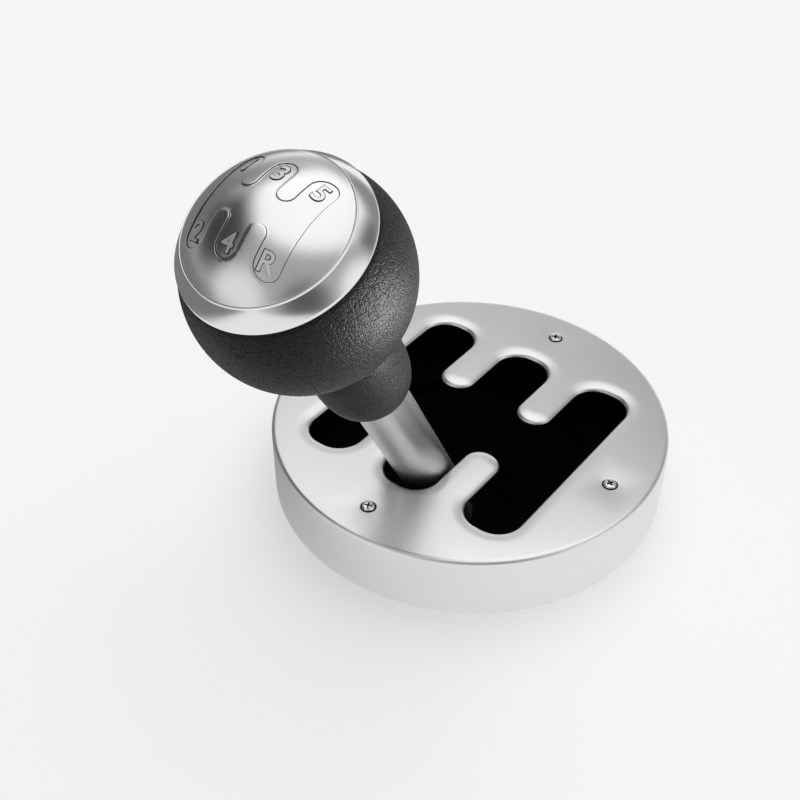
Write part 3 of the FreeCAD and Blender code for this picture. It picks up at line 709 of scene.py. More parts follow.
def gate_corners(pitch: float, half: float, reach: float, channel: float, corner: float,
                 tip: float) -> list[tuple[float, float, float]]:
    """List the corners of a six-way gate.

    Args:
        pitch: Distance between the columns.
        half: Half the columns' width.
        reach: Half the columns' length.
        channel: Half the neutral channel's width.
        corner: Radius at the columns' ends.
        tip: Radius at the fingers' tips.

    Returns:
        The corners, anticlockwise from the near left one.
    """
    near = []
    for column in Column:
        middle = column.value * pitch
        if column is not Column.LEFT:
            near.append((middle - half, -channel, tip))
        near += [(middle - half, -reach, corner), (middle + half, -reach, corner)]
        if column is not Column.RIGHT:
            near.append((middle + half, -channel, tip))
    far = [(-across, -up, radius) for across, up, radius in near]
    return near + far


def ring_points(centre: tuple[float, float], radius: float, count: int) -> list[Vector]:
    """Give points on a circle in the plane."""
    return [Vector((centre[0] + radius * math.cos(math.tau * step / count),
                    centre[1] + radius * math.sin(math.tau * step / count)))
            for step in range(count)]


def bridge(form: bmesh.types.BMesh, lower: list, upper: list) -> None:
    """Join two closed rows of points with faces.

    Args:
        form: The form they belong to.
        lower: The first row.
        upper: The second row, as long as the first.
    """
    count = len(lower)
    for step in range(count):
        after = (step + 1) % count
        form.faces.new((lower[step], lower[after], upper[after], upper[step]))


def closed_edges(first: int, count: int) -> list[tuple[int, int]]:
    """List the edges of a closed outline whose points are numbered from a first one."""
    return [(first + step, first + (step + 1) % count) for step in range(count)]


def level_fill(form: bmesh.types.BMesh, rows: list[list], height: float) -> None:
    """Fill the flat stretch between an outer row and the rows inside it.

    Args:
        form: The form they belong to.
        rows: The rows of points; the first is the outer one.
        height: The height of any point that the fill adds.
    """
    spots, edges, verts = [], [], []
    for row in rows:
        edges += closed_edges(len(spots), len(row))
        spots += [vert.co.to_2d() for vert in row]
        verts += row
    out, _, faces, origins, *_ = delaunay_2d_cdt(spots, edges, [], 0, TINY)
    made = [verts[origin[0]] if origin else form.verts.new((*spot, height))
            for spot, origin in zip(out, origins)]
    inner = [[vert.co.to_2d() for vert in row] for row in rows[1:]]
    for face in faces:
        middle = sum((out[index] for index in face), Vector((0, 0))) / len(face)
        if not any(inside(middle, row) for row in inner):
            form.faces.new([made[index] for index in face])


def inside(spot: Vector, row: list[Vector]) -> bool:
    """Say whether a place lies inside a closed outline.

    Args:
        spot: The place.
        row: The outline's points.

    Returns:
        True inside it.
    """
    crossed = False
    for start, end in zip(row, row[1:] + row[:1]):
        if (start.y > spot.y) != (end.y > spot.y):
            if spot.x < (end.x - start.x) * (spot.y - start.y) / (end.y - start.y) + start.x:
                crossed = not crossed
    return crossed


@dataclass
class GatePlate:
    """The satin plate with its rolled gate opening and the seats of its four screws."""

    radius: float = 50.0 * MM
    height: float = 17.2 * MM
    top_wall: float = 2.0 * MM
    skirt_wall: float = 2.4 * MM
    rim_round: float = 1.2 * MM
    pitch: float = 23.8 * MM
    slot_half: float = 7.2 * MM
    slot_reach: float = 30.0 * MM
    channel_half: float = 7.8 * MM
    slot_corner: float = 6.3 * MM
    finger_round: float = 4.5 * MM
    edge_roll: float = 1.3 * MM
    soft_width: float = 2.8 * MM
    soft_slope: float = 18.0
    screw_circle: float = 40.85 * MM
    screw_hole: float = 1.05 * MM
    seat_radius: float = 1.83 * MM
    seat_depth: float = 0.6 * MM
    seat_roll: float = 0.25 * MM
    foot_chamfer: float = 0.35 * MM
    outline_step: float = 1.6 * MM
    outline_arc: int = 14
    roll_steps: int = 10
    seat_around: int = 48
    around: int = 256

    def _row(self, form: bmesh.types.BMesh, points: list[Vector], height: float) -> list:
        """Add a row of points at one height."""
        return [form.verts.new((point.x, point.y, height)) for point in points]

    def _gate_rows(self, form: bmesh.types.BMesh) -> tuple[list, list]:
        """Build the rolled edge of the opening and its soft fall to the flat top.

        Args:
            form: The form it goes into.

        Returns:
            The row on the plate's underside and the outermost row on its top.
        """
        loop = rounded_loop(gate_corners(self.pitch, self.slot_half, self.slot_reach,
                                         self.channel_half, self.slot_corner, self.finger_round),
                            self.outline_step, self.outline_arc)
        under = self.height - self.top_wall
        bottom = self._row(form, loop.points, under)
        before = bottom
        steep = math.radians(self.soft_slope)
        fall = self.soft_width * math.tan(steep) / 2
        crest = self.height - fall + self.edge_roll * (1 - math.cos(steep))
        steps = self.roll_steps
        for step in range(steps + 1):
            turn = (math.pi / 2 - steep) * step / steps
            row = self._row(form, loop.moved(self.edge_roll * (1 - math.cos(turn))),
                            crest - self.edge_roll * (1 - math.sin(turn)))
            bridge(form, before, row)
            before = row
        start = self.edge_roll * (1 - math.sin(steep))
        for step in range(1, steps + 1):
            share = step / steps
            row = self._row(form, loop.moved(start + self.soft_width * share),
                            self.height - fall * (1 - share) ** 2)
            bridge(form, before, row)
            before = row
        return bottom, before

    def _seat_rows(self, form: bmesh.types.BMesh, centre: tuple[float, float]) -> tuple[list, list]:
        """Build one screw's hole and the sunk seat of its head.

        Args:
            form: The form it goes into.
            centre: The screw's place.

        Returns:
            The row on the plate's underside and the row on its top.
        """
        floor = self.height - self.seat_depth
        profile = [(self.screw_hole, self.height - self.top_wall), (self.screw_hole, floor),
                   (self.seat_radius, floor)]
        profile += arc((self.seat_radius + self.seat_roll, self.height - self.seat_roll),
                       self.seat_roll, 180, 90, 6)
        rows = []
        for reach, height in profile:
            rows.append(self._row(form, ring_points(centre, reach, self.seat_around), height))
            if len(rows) > 1:
                bridge(form, rows[-2], rows[-1])
        # Painted shade: the hole, the seat's floor and wall and the foot of its roll are marked
        # dark, as the shade round the screw head.
        dark = form.faces.layers.float[LINES]
        for vert in (vert for row in rows[:4] for vert in row):
            for face in vert.link_faces:
                face[dark] = 1.0
        return rows[0], rows[-1]

    def screw_places(self) -> list[tuple[float, float]]:
        """Give the places of the four screws."""
        reach = self.screw_circle
        return [(reach, 0.0), (0.0, reach), (-reach, 0.0), (0.0, -reach)]

    def build(self, finish: SatinMetal) -> bpy.types.Object:
        """Build the plate.

        Args:
            finish: Its metal.

        Returns:
            The piece.
        """
        form = bmesh.new()
        form.faces.layers.float.new(LINES)
        low_rows, top_rows = [], []
        for rows in [self._gate_rows(form)] + [self._seat_rows(form, spot)
                                               for spot in self.screw_places()]:
            low_rows.append(rows[0])
            top_rows.append(rows[1])
        profile = arc((self.radius - self.rim_round, self.height - self.rim_round), self.rim_round,
                      90, 0, 10)
        inner = self.radius - self.skirt_wall
        profile += [(self.radius, self.foot_chamfer), (self.radius - self.foot_chamfer, 0.0),
                    (inner, 0.0), (inner, self.height - self.top_wall)]
        before = None
        for reach, height in profile:
            row = self._row(form, ring_points((0, 0), reach, self.around), height)
            if before is None:
                level_fill(form, [row] + top_rows, self.height)
            else:
                bridge(form, before, row)
            before = row
        level_fill(form, [before] + low_rows, self.height - self.top_wall)
        bmesh.ops.recalc_face_normals(form, faces=form.faces)
        mesh = smooth_mesh(form, "gate_plate", 35)
        return new_piece("gate_plate", mesh, finish.material(), Body.PLATE,
                         ("gate_cover",))


@dataclass
class PlateScrews:
    """Small pan head screws with cross recesses, set on the plate's circle by a node tree.

    The recess is given in shares of the head's radius and height.
    """

    circle: float
    seat: float
    count: int = 4
    head_radius: float = 1.55 * MM
    head_height: float = 1.1 * MM
    crown_share: float = 0.55
    recess_arm: float = 0.62
    recess_half: float = 0.16
    recess_depth: float = 0.65
    shank_radius: float = 1.0 * MM
    length: float = 9.0 * MM
    point_length: float = 0.6 * MM
    point_radius: float = 0.3 * MM
    spin: tuple[float, float] = (0.2, 1.4)
    spin_seed: int = 4

    def _one(self) -> bpy.types.Object:
        """Build one screw, standing on the origin with its head up.

        Returns:
            The screw.
        """
        roll = self.head_height * self.crown_share
        profile = [(0.0, self.head_height)]
        profile += arc((self.head_radius - roll, self.head_height - roll), roll, 80, 0, 8)
        profile += [(self.head_radius, 0.0), (self.shank_radius, 0.0),
                    (self.shank_radius, -self.length + self.point_length),
                    (self.point_radius, -self.length), (0.0, -self.length)]
        screw = in_scene("plate_screw", turned(profile, Matrix.Identity(4), "plate_screw", 32,
                                               closed=False))
        form = bmesh.new()
        arm, half = self.head_radius * self.recess_arm, self.head_radius * self.recess_half
        for wide, long in ((arm, half), (half, arm)):
            size = (wide * 2, long * 2, self.head_height * self.recess_depth * 2, 1)
            place = Matrix.Translation((0, 0, self.head_height)) @ Matrix.Diagonal(size)
            bmesh.ops.create_cube(form, size=1.0, matrix=place)
        cutter_mesh = bpy.data.meshes.new("recess")
        form.to_mesh(cutter_mesh)
        form.free()
        cutter = in_scene("recess", cutter_mesh)
        modifier = screw.modifiers.new("recess", "BOOLEAN")
        modifier.object = cutter
        modifier.operation = "DIFFERENCE"
        modifier.use_self = True
        made = settled(screw)
        screw.modifiers.clear()
        screw.data = made
        bpy.data.objects.remove(cutter)
        return screw

    def _circle(self, screw: bpy.types.Object,
                finish: bpy.types.Material) -> bpy.types.GeometryNodeTree:
        """Write the node tree that sets a screw on each point of a circle.

        Args:
            screw: The screw.
            finish: Its material.

        Returns:
            The node tree.
        """
        group = bpy.data.node_groups.new("screw_circle", "GeometryNodeTree")
        for name, kind in (("Geometry", "NodeSocketGeometry"), ("Circle", "NodeSocketFloat"),
                           ("Seat", "NodeSocketFloat"), ("Count", "NodeSocketInt")):
            group.interface.new_socket(name, in_out="INPUT", socket_type=kind)
        group.interface.new_socket("Geometry", in_out="OUTPUT", socket_type="NodeSocketGeometry")
        tree = Tree(group)
        entry = group.nodes.new("NodeGroupInput")
        circle, seat, count = (Wire(tree, entry.outputs[name])
                               for name in ("Circle", "Seat", "Count"))
        ring = tree.add("GeometryNodeMeshCircle", None, {"Vertices": count, "Radius": circle})
        lift = tree.add("ShaderNodeCombineXYZ", None, {"Z": seat})
        raised = tree.add("GeometryNodeTransform", None, {"Geometry": ring, "Translation": lift})
        source = tree.add("GeometryNodeObjectInfo", None, {"Object": screw}, "Geometry")
        least, most = self.spin
        spin = tree.add("FunctionNodeRandomValue", {"data_type": "FLOAT"},
                        {2: least, 3: most, "Seed": self.spin_seed}, 1)
        turn = tree.add("ShaderNodeCombineXYZ", None, {"Z": spin})
        placed = tree.add("GeometryNodeInstanceOnPoints", None,
                          {"Points": raised, "Instance": source, "Rotation": turn})
        real = tree.add("GeometryNodeRealizeInstances", None, {"Geometry": placed})
        coated = tree.add("GeometryNodeSetMaterial", None, {"Geometry": real, "Material": finish})
        tree.add("NodeGroupOutput", None, {0: coated})
        return group

    def build(self, finish: SatinMetal) -> bpy.types.Object:
        """Set the screws on their circle.

        Args:
            finish: Their metal.

        Returns:
            The piece.
        """
        material = finish.material()
        screw = self._one()
        holder = in_scene("screw_holder", bpy.data.meshes.new("screw_holder"))
        modifier = holder.modifiers.new("circle", "NODES")
        modifier.node_group = self._circle(screw, material)
        sizes = {"Circle": self.circle, "Seat": self.seat, "Count": self.count}
        for item in modifier.node_group.interface.items_tree:
            if item.item_type == "SOCKET" and item.in_out == "INPUT" and item.name in sizes:
                modifier[item.identifier] = sizes[item.name]
        mesh = settled(holder)
        bpy.data.objects.remove(holder)
        bpy.data.objects.remove(screw)
        mesh.shade_smooth()
        mesh.set_sharp_from_angle(angle=math.radians(35))
        return new_piece("plate_screws", mesh, material, Body.PLATE,
                         ("cover_screws",))


@dataclass
class LeverFrame:
    """Where the lever stands: its pivot, its lean and the knob's centre."""

    pivot: Vector
    lean: float
    knob_height: float = 129.8 * MM

    @classmethod
    def from_joint(cls, joint: dict) -> "LeverFrame":
        """Read the lever's place from its joint, whose range runs evenly to both sides.

        Args:
            joint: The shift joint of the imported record.

        Returns:
            The lever's place.
        """
        return cls(Vector(joint["pos_m"]), math.radians(max(joint["range_deg"]) / 2))

    @property
    def place(self) -> Matrix:
        """Give the way from the pivot's upright frame to the leaning lever."""
        return Matrix.Translation(self.pivot) @ Matrix.Rotation(self.lean, 4, "X")

    @property
    def knob(self) -> Matrix:
        """Give the leaning frame at the knob's centre."""
        return self.place @ Matrix.Translation((0, 0, self.knob_height))

    @property
    def axis(self) -> Vector:
        """Give the lever's direction."""
        return (self.place.to_3x3() @ Vector((0, 0, 1))).normalized()


@dataclass
class LeverRod:
    """The forged lever: stud, shaft, neck, shank, blade and eye."""

    at: LeverFrame
    shaft: float = 6.5 * MM
    neck: float = 5.0 * MM
    neck_top: float = 20.0 * MM
    neck_flare: float = 4.0 * MM
    neck_soft: float = 1.5 * MM
    shank: float = 4.0 * MM
    shank_sunk: float = 2.0 * MM
    ball_flat: float = 11.0 * MM
    stud_foot: float = 99.8 * MM
    stud_top: float = 125.8 * MM
    stud_soft: float = 0.5 * MM
    blade_half: float = 6.5 * MM
    blade_top: float = 15.0 * MM
    blade_soft: float = 3.0 * MM
    eye_drop: float = 34.0 * MM
    eye: float = 8.0 * MM
    bore: float = 4.52 * MM

    def _blade_outline(self) -> list[Vector]:
        """Draw the blade, from round its eye up to its rounded shoulders.

        Returns:
            The outline's points.
        """
        side = math.degrees(math.asin(self.blade_half / self.eye))
        soft, across = self.blade_soft, self.blade_half - self.blade_soft
        up = -self.blade_top - soft
        points = arc((0, -self.eye_drop), self.eye, 90 + side, 450 - side, 40)
        points += arc((across, up), soft, 0, 90, 7) + arc((-across, up), soft, 90, 180, 7)
        return [Vector(point) for point in points]

    def build(self, finish: SatinMetal) -> bpy.types.Object:
        """Build the lever.

        Args:
            finish: Its metal.

        Returns:
            The piece.
        """
        foot = -self.blade_top - self.shank_sunk
        profile = softened([(0.0, foot, 0), (self.shank, foot, 0),
                            (self.shank, self.ball_flat, 0), (self.neck, self.ball_flat, 0),
                            (self.neck, self.neck_top, self.neck_soft),
                            (self.shaft, self.neck_top + self.neck_flare, self.neck_soft),
                            (self.shaft, self.stud_foot, self.stud_soft),
                            (self.shank, self.stud_foot, 0),
                            (self.shank, self.stud_top, self.stud_soft), (0.0, self.stud_top, 0)])
        form = bmesh.new()
        form.from_mesh(turned(profile, Matrix.Identity(4), "lever_rod", 128, closed=False))
        outline = self._blade_outline()
        hole = ring_points((0, -self.eye_drop), self.bore, 40)
        faces = []
        for across in (-self.shank, self.shank):
            rim, inner = ([form.verts.new((point.x, point.y, across)) for point in points]
                          for points in (outline, hole))
            level_fill(form, [rim, inner], across)
            faces.append((rim, inner))
        for near, far in zip(*faces):
            bridge(form, near, far)
        blade = [vert for rows in faces for row in rows for vert in row]
        upright = Matrix(((0, 0, 1, 0), (1, 0, 0, 0), (0, 1, 0, 0), (0, 0, 0, 1)))
        bmesh.ops.transform(form, matrix=upright, verts=blade)
        bmesh.ops.recalc_face_normals(form, faces=form.faces)
        form.transform(self.at.place)
        mesh = smooth_mesh(form, "lever_rod", 35)
        return new_piece("lever_rod", mesh, finish.material(), Body.LEVER,
                         ("lever_shaft",))


@dataclass
class KnobHead:
    """The knob: leather ball and collar, trim ring, cap and its pattern."""

    at: LeverFrame
    ball: float = 22.2 * MM
    leather: float = 1.2 * MM
    sleeve: float = 9.4 * MM
    seam_depth: float = 19.9 * MM
    ring_foot: float = 12.0 * MM
    table: float = 11.8 * MM
    ring_edge: float = 19.25 * MM
    ring_dome: float = 22.9 * MM
    ring_top: float = 15.9 * MM
    ring_lip: float = 0.35 * MM
    ring_seat: float = 15.2 * MM
    cap: float = 16.3 * MM
    cap_seat: float = 14.82 * MM
    cap_top: float = 22.75 * MM
    cap_dome: float = 23.7 * MM
    cap_wall: float = 1.8 * MM
    cap_gap: float = 0.05 * MM
    cap_edge: float = 0.08 * MM
    cap_skirt: float = 1.1 * MM
    peg_radius: float = 3.0 * MM
    peg_foot: float = 5.0 * MM
    tuck: float = 0.5 * MM
    tuck_angles: tuple[float, float, float] = (2.5, 1.8, 1.2)
    collar: float = 10.6 * MM
    collar_top: float = 20.2 * MM
    collar_waist: float = 35.2 * MM
    collar_foot: float = 45.2 * MM
    collar_mouth: float = 7.4 * MM
    collar_bore: float = 6.55 * MM
    collar_steps: int = 15
    pattern_pitch: float = 8.4 * MM
    pattern_half: float = 2.45 * MM
    pattern_reach: float = 10.7 * MM
    pattern_channel: float = 2.7 * MM
    pattern_shift: tuple[float, float] = (-0.4 * MM, 0.4 * MM)
    pattern_depth: float = 0.2 * MM
    pattern_wall: float = 0.09 * MM
    pattern_step: float = 0.5 * MM
    pattern_arc: int = 12
    dome_pitch: float = 0.42 * MM
    dome_clear: float = 0.26 * MM
    dome_band: float = 0.5 * MM
    dome_margin: float = 0.65 * MM
    dome_around: int = 192
    numeral_size: float = 5.4 * MM
    numeral_row: float = 7.75 * MM
    outline_spread: float = 0.20 * MM
    outline_rise: float = 0.03 * MM
    numeral_spread: float = 0.06 * MM
    numeral_rise: float = 0.10 * MM

    def build_ball(self, finish: Leather) -> bpy.types.Object:
        """Build the leather ball, whose edge is tucked in under the trim ring.

        Args:
            finish: Its leather.

        Returns:
            The piece.
        """
        inner = self.ball - self.leather
        low = math.degrees(math.asin(-self.seam_depth / self.ball))
        high = math.degrees(math.asin(self.table / self.ball))
        last = math.degrees(math.asin(-math.sqrt(inner ** 2 - self.sleeve ** 2) / inner))
        full, bend, turn_in = (high - angle for angle in self.tuck_angles)
        profile = arc((0, 0), self.ball, low, full, 110)
        profile += arc((0, 0), self.ball - self.tuck * 0.2, bend, turn_in, 2)
        profile.append((math.sqrt(self.ball ** 2 - self.table ** 2) - self.tuck, self.table))
        profile += arc((0, 0), inner, high, last, 50)
        profile.append((self.sleeve, -self.seam_depth + 0.05 * MM))
        mesh = turned(profile, self.at.knob, "leather_ball", 256, sharp=50)
        return new_piece("leather_ball", mesh, finish.material(), Body.LEVER,
                         ("leather_cover",))

    def build_collar(self, finish: Leather) -> bpy.types.Object:
        """Build the leather collar under the ball, which closes softly on the shaft.

        Args:
            finish: Its leather.

        Returns:
            The piece.
        """
        bore, foot = self.collar_bore, self.collar_foot
        waist, top = self.collar_waist, self.collar_top
        rise = foot - waist
        start = self.collar_mouth - 0.5 * MM
        span = self.collar - start
        profile = [(bore, -foot + 0.1 * MM), (start - 0.25 * MM, -foot)]
        for step in range(1, self.collar_steps):
            turn = math.pi / 2 * step / self.collar_steps
            profile.append((start + span * math.sin(turn) ** 0.9,
                            -foot + rise * (1 - math.cos(turn))))
        profile += [(self.collar, -waist), (self.collar, -waist + 6 * MM),
                    (self.collar, -top - 0.5 * MM), (self.collar - 0.35 * MM, -top - 0.1 * MM),
                    (self.sleeve, -top), (self.sleeve, -waist),
                    (self.collar_mouth - 0.2 * MM, -foot + 0.3 * MM), (bore, -foot + 0.3 * MM)]
        mesh = turned(profile, self.at.knob, "leather_collar", 192, sharp=50)
        return new_piece("leather_collar", mesh, finish.material(), Body.LEVER,
                         ("neck_leather",))

    def build_ring(self, finish: SatinMetal) -> bpy.types.Object:
        """Build the trim ring, whose rounded face ends in a small lip round the cap.

        Args:
            finish: Its metal.

        Returns:
            The piece.
        """
        bore = self.cap + self.cap_gap
        low = math.degrees(math.asin((self.ring_foot + 0.5 * MM) / self.ring_dome))
        high = math.degrees(math.asin((self.ring_top - 0.15 * MM) / self.ring_dome))
        face = arc((0, 0), self.ring_dome, low, high, 24)
        lip = self.ring_top + self.ring_lip
        profile = [(self.ring_seat, self.ring_foot), (self.ring_edge - 0.1 * MM, self.ring_foot),
                   (self.ring_edge + 0.03 * MM, self.ring_foot + 0.12 * MM)]
        profile += face
        profile += softened([(*face[-1], 0.05 * MM), (bore + 0.22 * MM, lip, 0.1 * MM),
                             (bore, lip - 0.08 * MM, 0.06 * MM), (bore, self.cap_seat, 0)], 4)[1:]
        profile += [(self.ring_seat, self.cap_seat)]
        mesh = turned(profile, self.at.knob, "bevel_ring", 256, sharp=55)
        return new_piece("bevel_ring", mesh, finish.material(), Body.LEVER,
                         ("trim_ring",))

    def dome(self, spot: Vector, drop: float = 0.0) -> Vector:
        """Lift a place in the plane onto the cap's dome.

        Args:
            spot: The place, seen down the lever's axis.
            drop: How far under the dome's face it lies.

        Returns:
            The lifted place.
        """
        rise = math.sqrt(max(self.cap_dome ** 2 - spot.length_squared, 0.0))
        scale = 1 - drop / self.cap_dome
        return Vector((spot.x * scale, spot.y * scale, self.cap_top - self.cap_dome + rise * scale))

    def _pattern(self) -> Loop:
        """Draw the sunk pattern's outline at its place on the cap.

        Returns:
            The outline.
        """
        tip = self.pattern_pitch / 2 - self.pattern_half - 0.02 * MM
        loop = rounded_loop(gate_corners(self.pattern_pitch, self.pattern_half, self.pattern_reach,
                                         self.pattern_channel, self.pattern_half * 0.98, tip),
                            self.pattern_step, self.pattern_arc)
        shift = Vector(self.pattern_shift)
        loop.points = [point + shift for point in loop.points]
        return loop

    def _dome_plan(self, loop: Loop, rows: list[tuple[list[Vector], float]]) -> tuple[
            list[Vector], list[tuple[int, int]], list[float]]:
        """Lay out the dome's points as seen from above.

        Args:
            loop: The pattern's outline.
            rows: The rows down the pattern's wall, each with its depth, from the floor up.

        Returns:
            The points, the edges that the fill keeps, and how deep each point lies.
        """
        spots, edges, drops = [], [], []
        rims = [(ring_points((0, 0), radius, self.dome_around), 0.0)
                for radius in (self.cap - self.cap_edge, self.cap - self.dome_band)]
        for points, drop in rows + rims:
            edges += closed_edges(len(spots), len(points))
            spots += points
            drops += [drop] * len(points)
        pitch = self.dome_pitch
        count = int(self.cap / pitch) + 1
        for row in range(-count, count + 1):
            for column in range(-count, count + 1):
                spot = Vector(((column + 0.5 * (row % 2)) * pitch, row * pitch * TRIANGLE))
                if spot.length > self.cap - self.dome_margin or self._near(spot, loop.points):
                    continue
                sunk = inside(spot, rows[0][0])
                if sunk or not inside(spot, rows[-1][0]):
                    spots.append(spot)
                    drops.append(self.pattern_depth if sunk else 0.0)
        return spots, edges, drops

    def _near(self, spot: Vector, points: list[Vector]) -> bool:
        """Say whether a place is too close to an outline for a point of its own."""
        return any(abs(point.x - spot.x) < self.dome_clear
                   and abs(point.y - spot.y) < self.dome_clear for point in points)

    def _dome_top(self, form: bmesh.types.BMesh) -> list:
        """Build the dome's face with the sunk pattern, whose wall is marked dark low down as
        painted shade.

        Args:
            form: The form it goes into.

        Returns:
            The points of its rim, in order round the axis.
        """
        loop = self._pattern()
        wall, deep = self.pattern_wall, self.pattern_depth
        rows = [(loop.moved(-wall * 0.9), deep), (loop.moved(-wall * 0.4), deep * 0.9),
                (loop.moved(wall * 0.3), deep * 0.12), (loop.moved(wall * 0.9), 0.0)]
        spots, edges, drops = self._dome_plan(loop, rows)
        out, _, faces, origins, *_ = delaunay_2d_cdt(spots, edges, [], 0, TINY)
        verts = [form.verts.new(self.dome(spot, drops[origin[0]] if origin else 0.0))
                 for spot, origin in zip(out, origins)]
        outer = self.cap - self.cap_edge
        dark = form.faces.layers.float.new(LINES)
        length = len(loop.points)
        lower_three = {index for index, origin in enumerate(origins)
                       if origin and origin[0] < 3 * length}
        upper_three = {index for index, origin in enumerate(origins)
                       if origin and length <= origin[0] < 4 * length}
        for face in faces:
            middle = sum((out[index] for index in face), Vector((0, 0))) / len(face)
            if middle.length < outer:
                made = form.faces.new([verts[index] for index in face])
                # Painted shade: faces low on the pattern's wall are marked dark.
                on_wall = lower_three.issuperset(face) and not inside(middle, rows[0][0])
                made[dark] = 1.0 if on_wall and not upper_three.isdisjoint(face) else 0.0
        rim = [vert for vert, spot in zip(verts, out) if abs(spot.length - outer) < 1e-7]
        return sorted(rim, key=lambda vert: math.atan2(vert.co.y, vert.co.x))

    def build_cap(self, finish: SatinMetal) -> bpy.types.Object:
        """Build the cap with its sunk pattern, its skirt and the peg under it.

        Args:
            finish: Its metal.

        Returns:
            The piece.
        """
        form = bmesh.new()
        before = self._dome_top(form)
        turns = [math.atan2(vert.co.y, vert.co.x) for vert in before]
        crown = before[0].co.z
        inner, under = self.cap - self.cap_skirt, self.cap_dome - self.cap_wall
        profile = [(self.cap - 0.02 * MM, crown - 0.05 * MM), (self.cap, crown - 0.12 * MM),
                   (self.cap, self.cap_seat), (inner, self.cap_seat)]
        profile += arc((0, self.cap_top - self.cap_dome), under,
                       math.degrees(math.acos(inner / under)),
                       math.degrees(math.acos(self.peg_radius / under)), 12)
        profile.append((self.peg_radius, self.peg_foot))
        for reach, height in profile:
            row = [form.verts.new((reach * math.cos(turn), reach * math.sin(turn), height))
                   for turn in turns]
            bridge(form, before, row)
            before = row
        form.faces.new(before)
        form.verts.index_update()
        bmesh.ops.delete(form, geom=[vert for vert in form.verts if not vert.link_faces],
                         context="VERTS")
        bmesh.ops.recalc_face_normals(form, faces=form.faces)
        form.transform(self.at.knob)
        mesh = smooth_mesh(form, "domed_cap", 50)
        return new_piece("domed_cap", mesh, finish.material(), Body.LEVER,
                         ("pattern_cap",))

    def _mark(self, mark: str, spread: float, rise: float) -> bpy.types.Mesh:
        """Build one numeral round the origin, facing up.

        Args:
            mark: The numeral.
            spread: How much its strokes are widened.
            rise: How far it stands above the plane and reaches under it.

        Returns:
            The mesh.
        """
        curve = bpy.data.curves.new(f"mark_{mark}", "FONT")
        curve.body = mark
        curve.size = self.numeral_size
        curve.offset = spread
        curve.extrude = rise
        holder = in_scene(curve.name, curve)
        mesh = settled(holder)
        bpy.data.objects.remove(holder)
        low, high = (Vector([most(vert.co[axis] for vert in mesh.vertices) for axis in (0, 1)])
                     for most in (min, max))
        mesh.transform(Matrix.Translation((-(low + high) / 2).to_3d()))
        return mesh

    def build_numerals(self, finish: SatinMetal) -> bpy.types.Object:
        """Build the raised numerals of the six gears, each set square to the dome.

        Each numeral lies on a wider and lower copy of itself, which is marked dark as painted shade
        and shows as its outline.

        Args:
            finish: Their metal.

        Returns:
            The piece.
        """
        marks = {"1": (Column.LEFT, Row.FAR), "3": (Column.MIDDLE, Row.FAR),
                 "5": (Column.RIGHT, Row.FAR), "2": (Column.LEFT, Row.NEAR),
                 "4": (Column.MIDDLE, Row.NEAR), "R": (Column.RIGHT, Row.NEAR)}
        # Painted shade: the wider copy is marked dark, the numeral itself is not.
        layers = ((self.outline_spread, self.outline_rise, 1.0),
                  (self.numeral_spread, self.numeral_rise, 0.0))
        form = bmesh.new()
        dark = form.faces.layers.float.new(LINES)
        for mark, (column, row) in marks.items():
            spot = Vector((column.value * self.pattern_pitch, row.value * self.numeral_row))
            spot += Vector(self.pattern_shift)
            normal = (self.dome(spot) - Vector((0, 0, self.cap_top - self.cap_dome))).normalized()
            across = (Vector((1, 0, 0)) - normal * normal.x).normalized()
            turn = Matrix((across, normal.cross(across), normal)).transposed().to_4x4()
            seat = Matrix.Translation(self.dome(spot, self.pattern_depth)) @ turn
            for spread, rise, darkness in layers:
                mesh = self._mark(mark, spread, rise)
                mesh.transform(seat)
                first = len(form.faces)
                form.from_mesh(mesh)
                form.faces.ensure_lookup_table()
                for face in form.faces[first:]:
                    face[dark] = darkness
        bmesh.ops.remove_doubles(form, verts=form.verts, dist=1e-7)
        form.transform(self.at.knob)
        mesh = smooth_mesh(form, "numerals", 30)
        return new_piece("numerals", mesh, finish.material(), Body.LEVER)


@dataclass
class Underside:
    """The finishes of the frame's own nodes under the plate and inside the knob."""

    def _finishes(self) -> dict[str, bpy.types.Material]:
        """Build the finishes.

        Returns:
            Each node's material, by the node's name.
        """
        # The near-black finishes are the parts' own black, deepened as painted shade where they
        # show through the gate.
        coat = Moulded("black_coat", DEEP_BLACK, 0.9, specular=0.04).material()
        rubber = Moulded("black_rubber", (0.004, 0.004, 0.004), 0.9, specular=0.1).material()
        nylon = Moulded("black_nylon", DEEP_BLACK, 0.85, specular=0.06).material()
        acetal = Moulded("white_acetal", (0.62, 0.61, 0.57), 0.35, depth=0.004 * MM).material()
        dark_acetal = Moulded("dark_acetal", DEEP_BLACK, 0.85, specular=0.05).material()
        core = Moulded("core_plastic", (0.04, 0.04, 0.04), 0.5).material()
        brass = Moulded("insert_brass", (0.70, 0.50, 0.20), 0.25, depth=0.002 * MM,
                        metal=1.0).material()
        zinc = SatinMetal("zinc_steel", 0.62, 0.3).material()
        spring = SatinMetal("spring_steel", 0.42, 0.3).material()
        return {"base_ring": coat, "console_gasket": rubber, "pivot_housing": nylon,
                "housing_screws": zinc, "ball_cup_lower": acetal, "ball_cup_upper": dark_acetal,
                "cup_retainer": dark_acetal, "bias_plunger_left": zinc,
                "bias_plunger_right": zinc, "bias_spring_left": spring,
                "bias_spring_right": spring, "plunger_clips": spring, "linkage_bush": acetal,
                "pivot_ball": dark_acetal, "knob_core": core, "threaded_insert": brass,
                "jam_nut": zinc, "neck_sleeve": core}

    def dress(self, nodes: dict) -> None:
        """Give each carried-over node its material.

        Args:
            nodes: The frame's nodes by name.
        """
        for name, material in self._finishes().items():
            node = nodes[name]
            node.data.materials.clear()
            node.data.materials.append(material)
            LOG.info("%s wears %s", name, material.name)


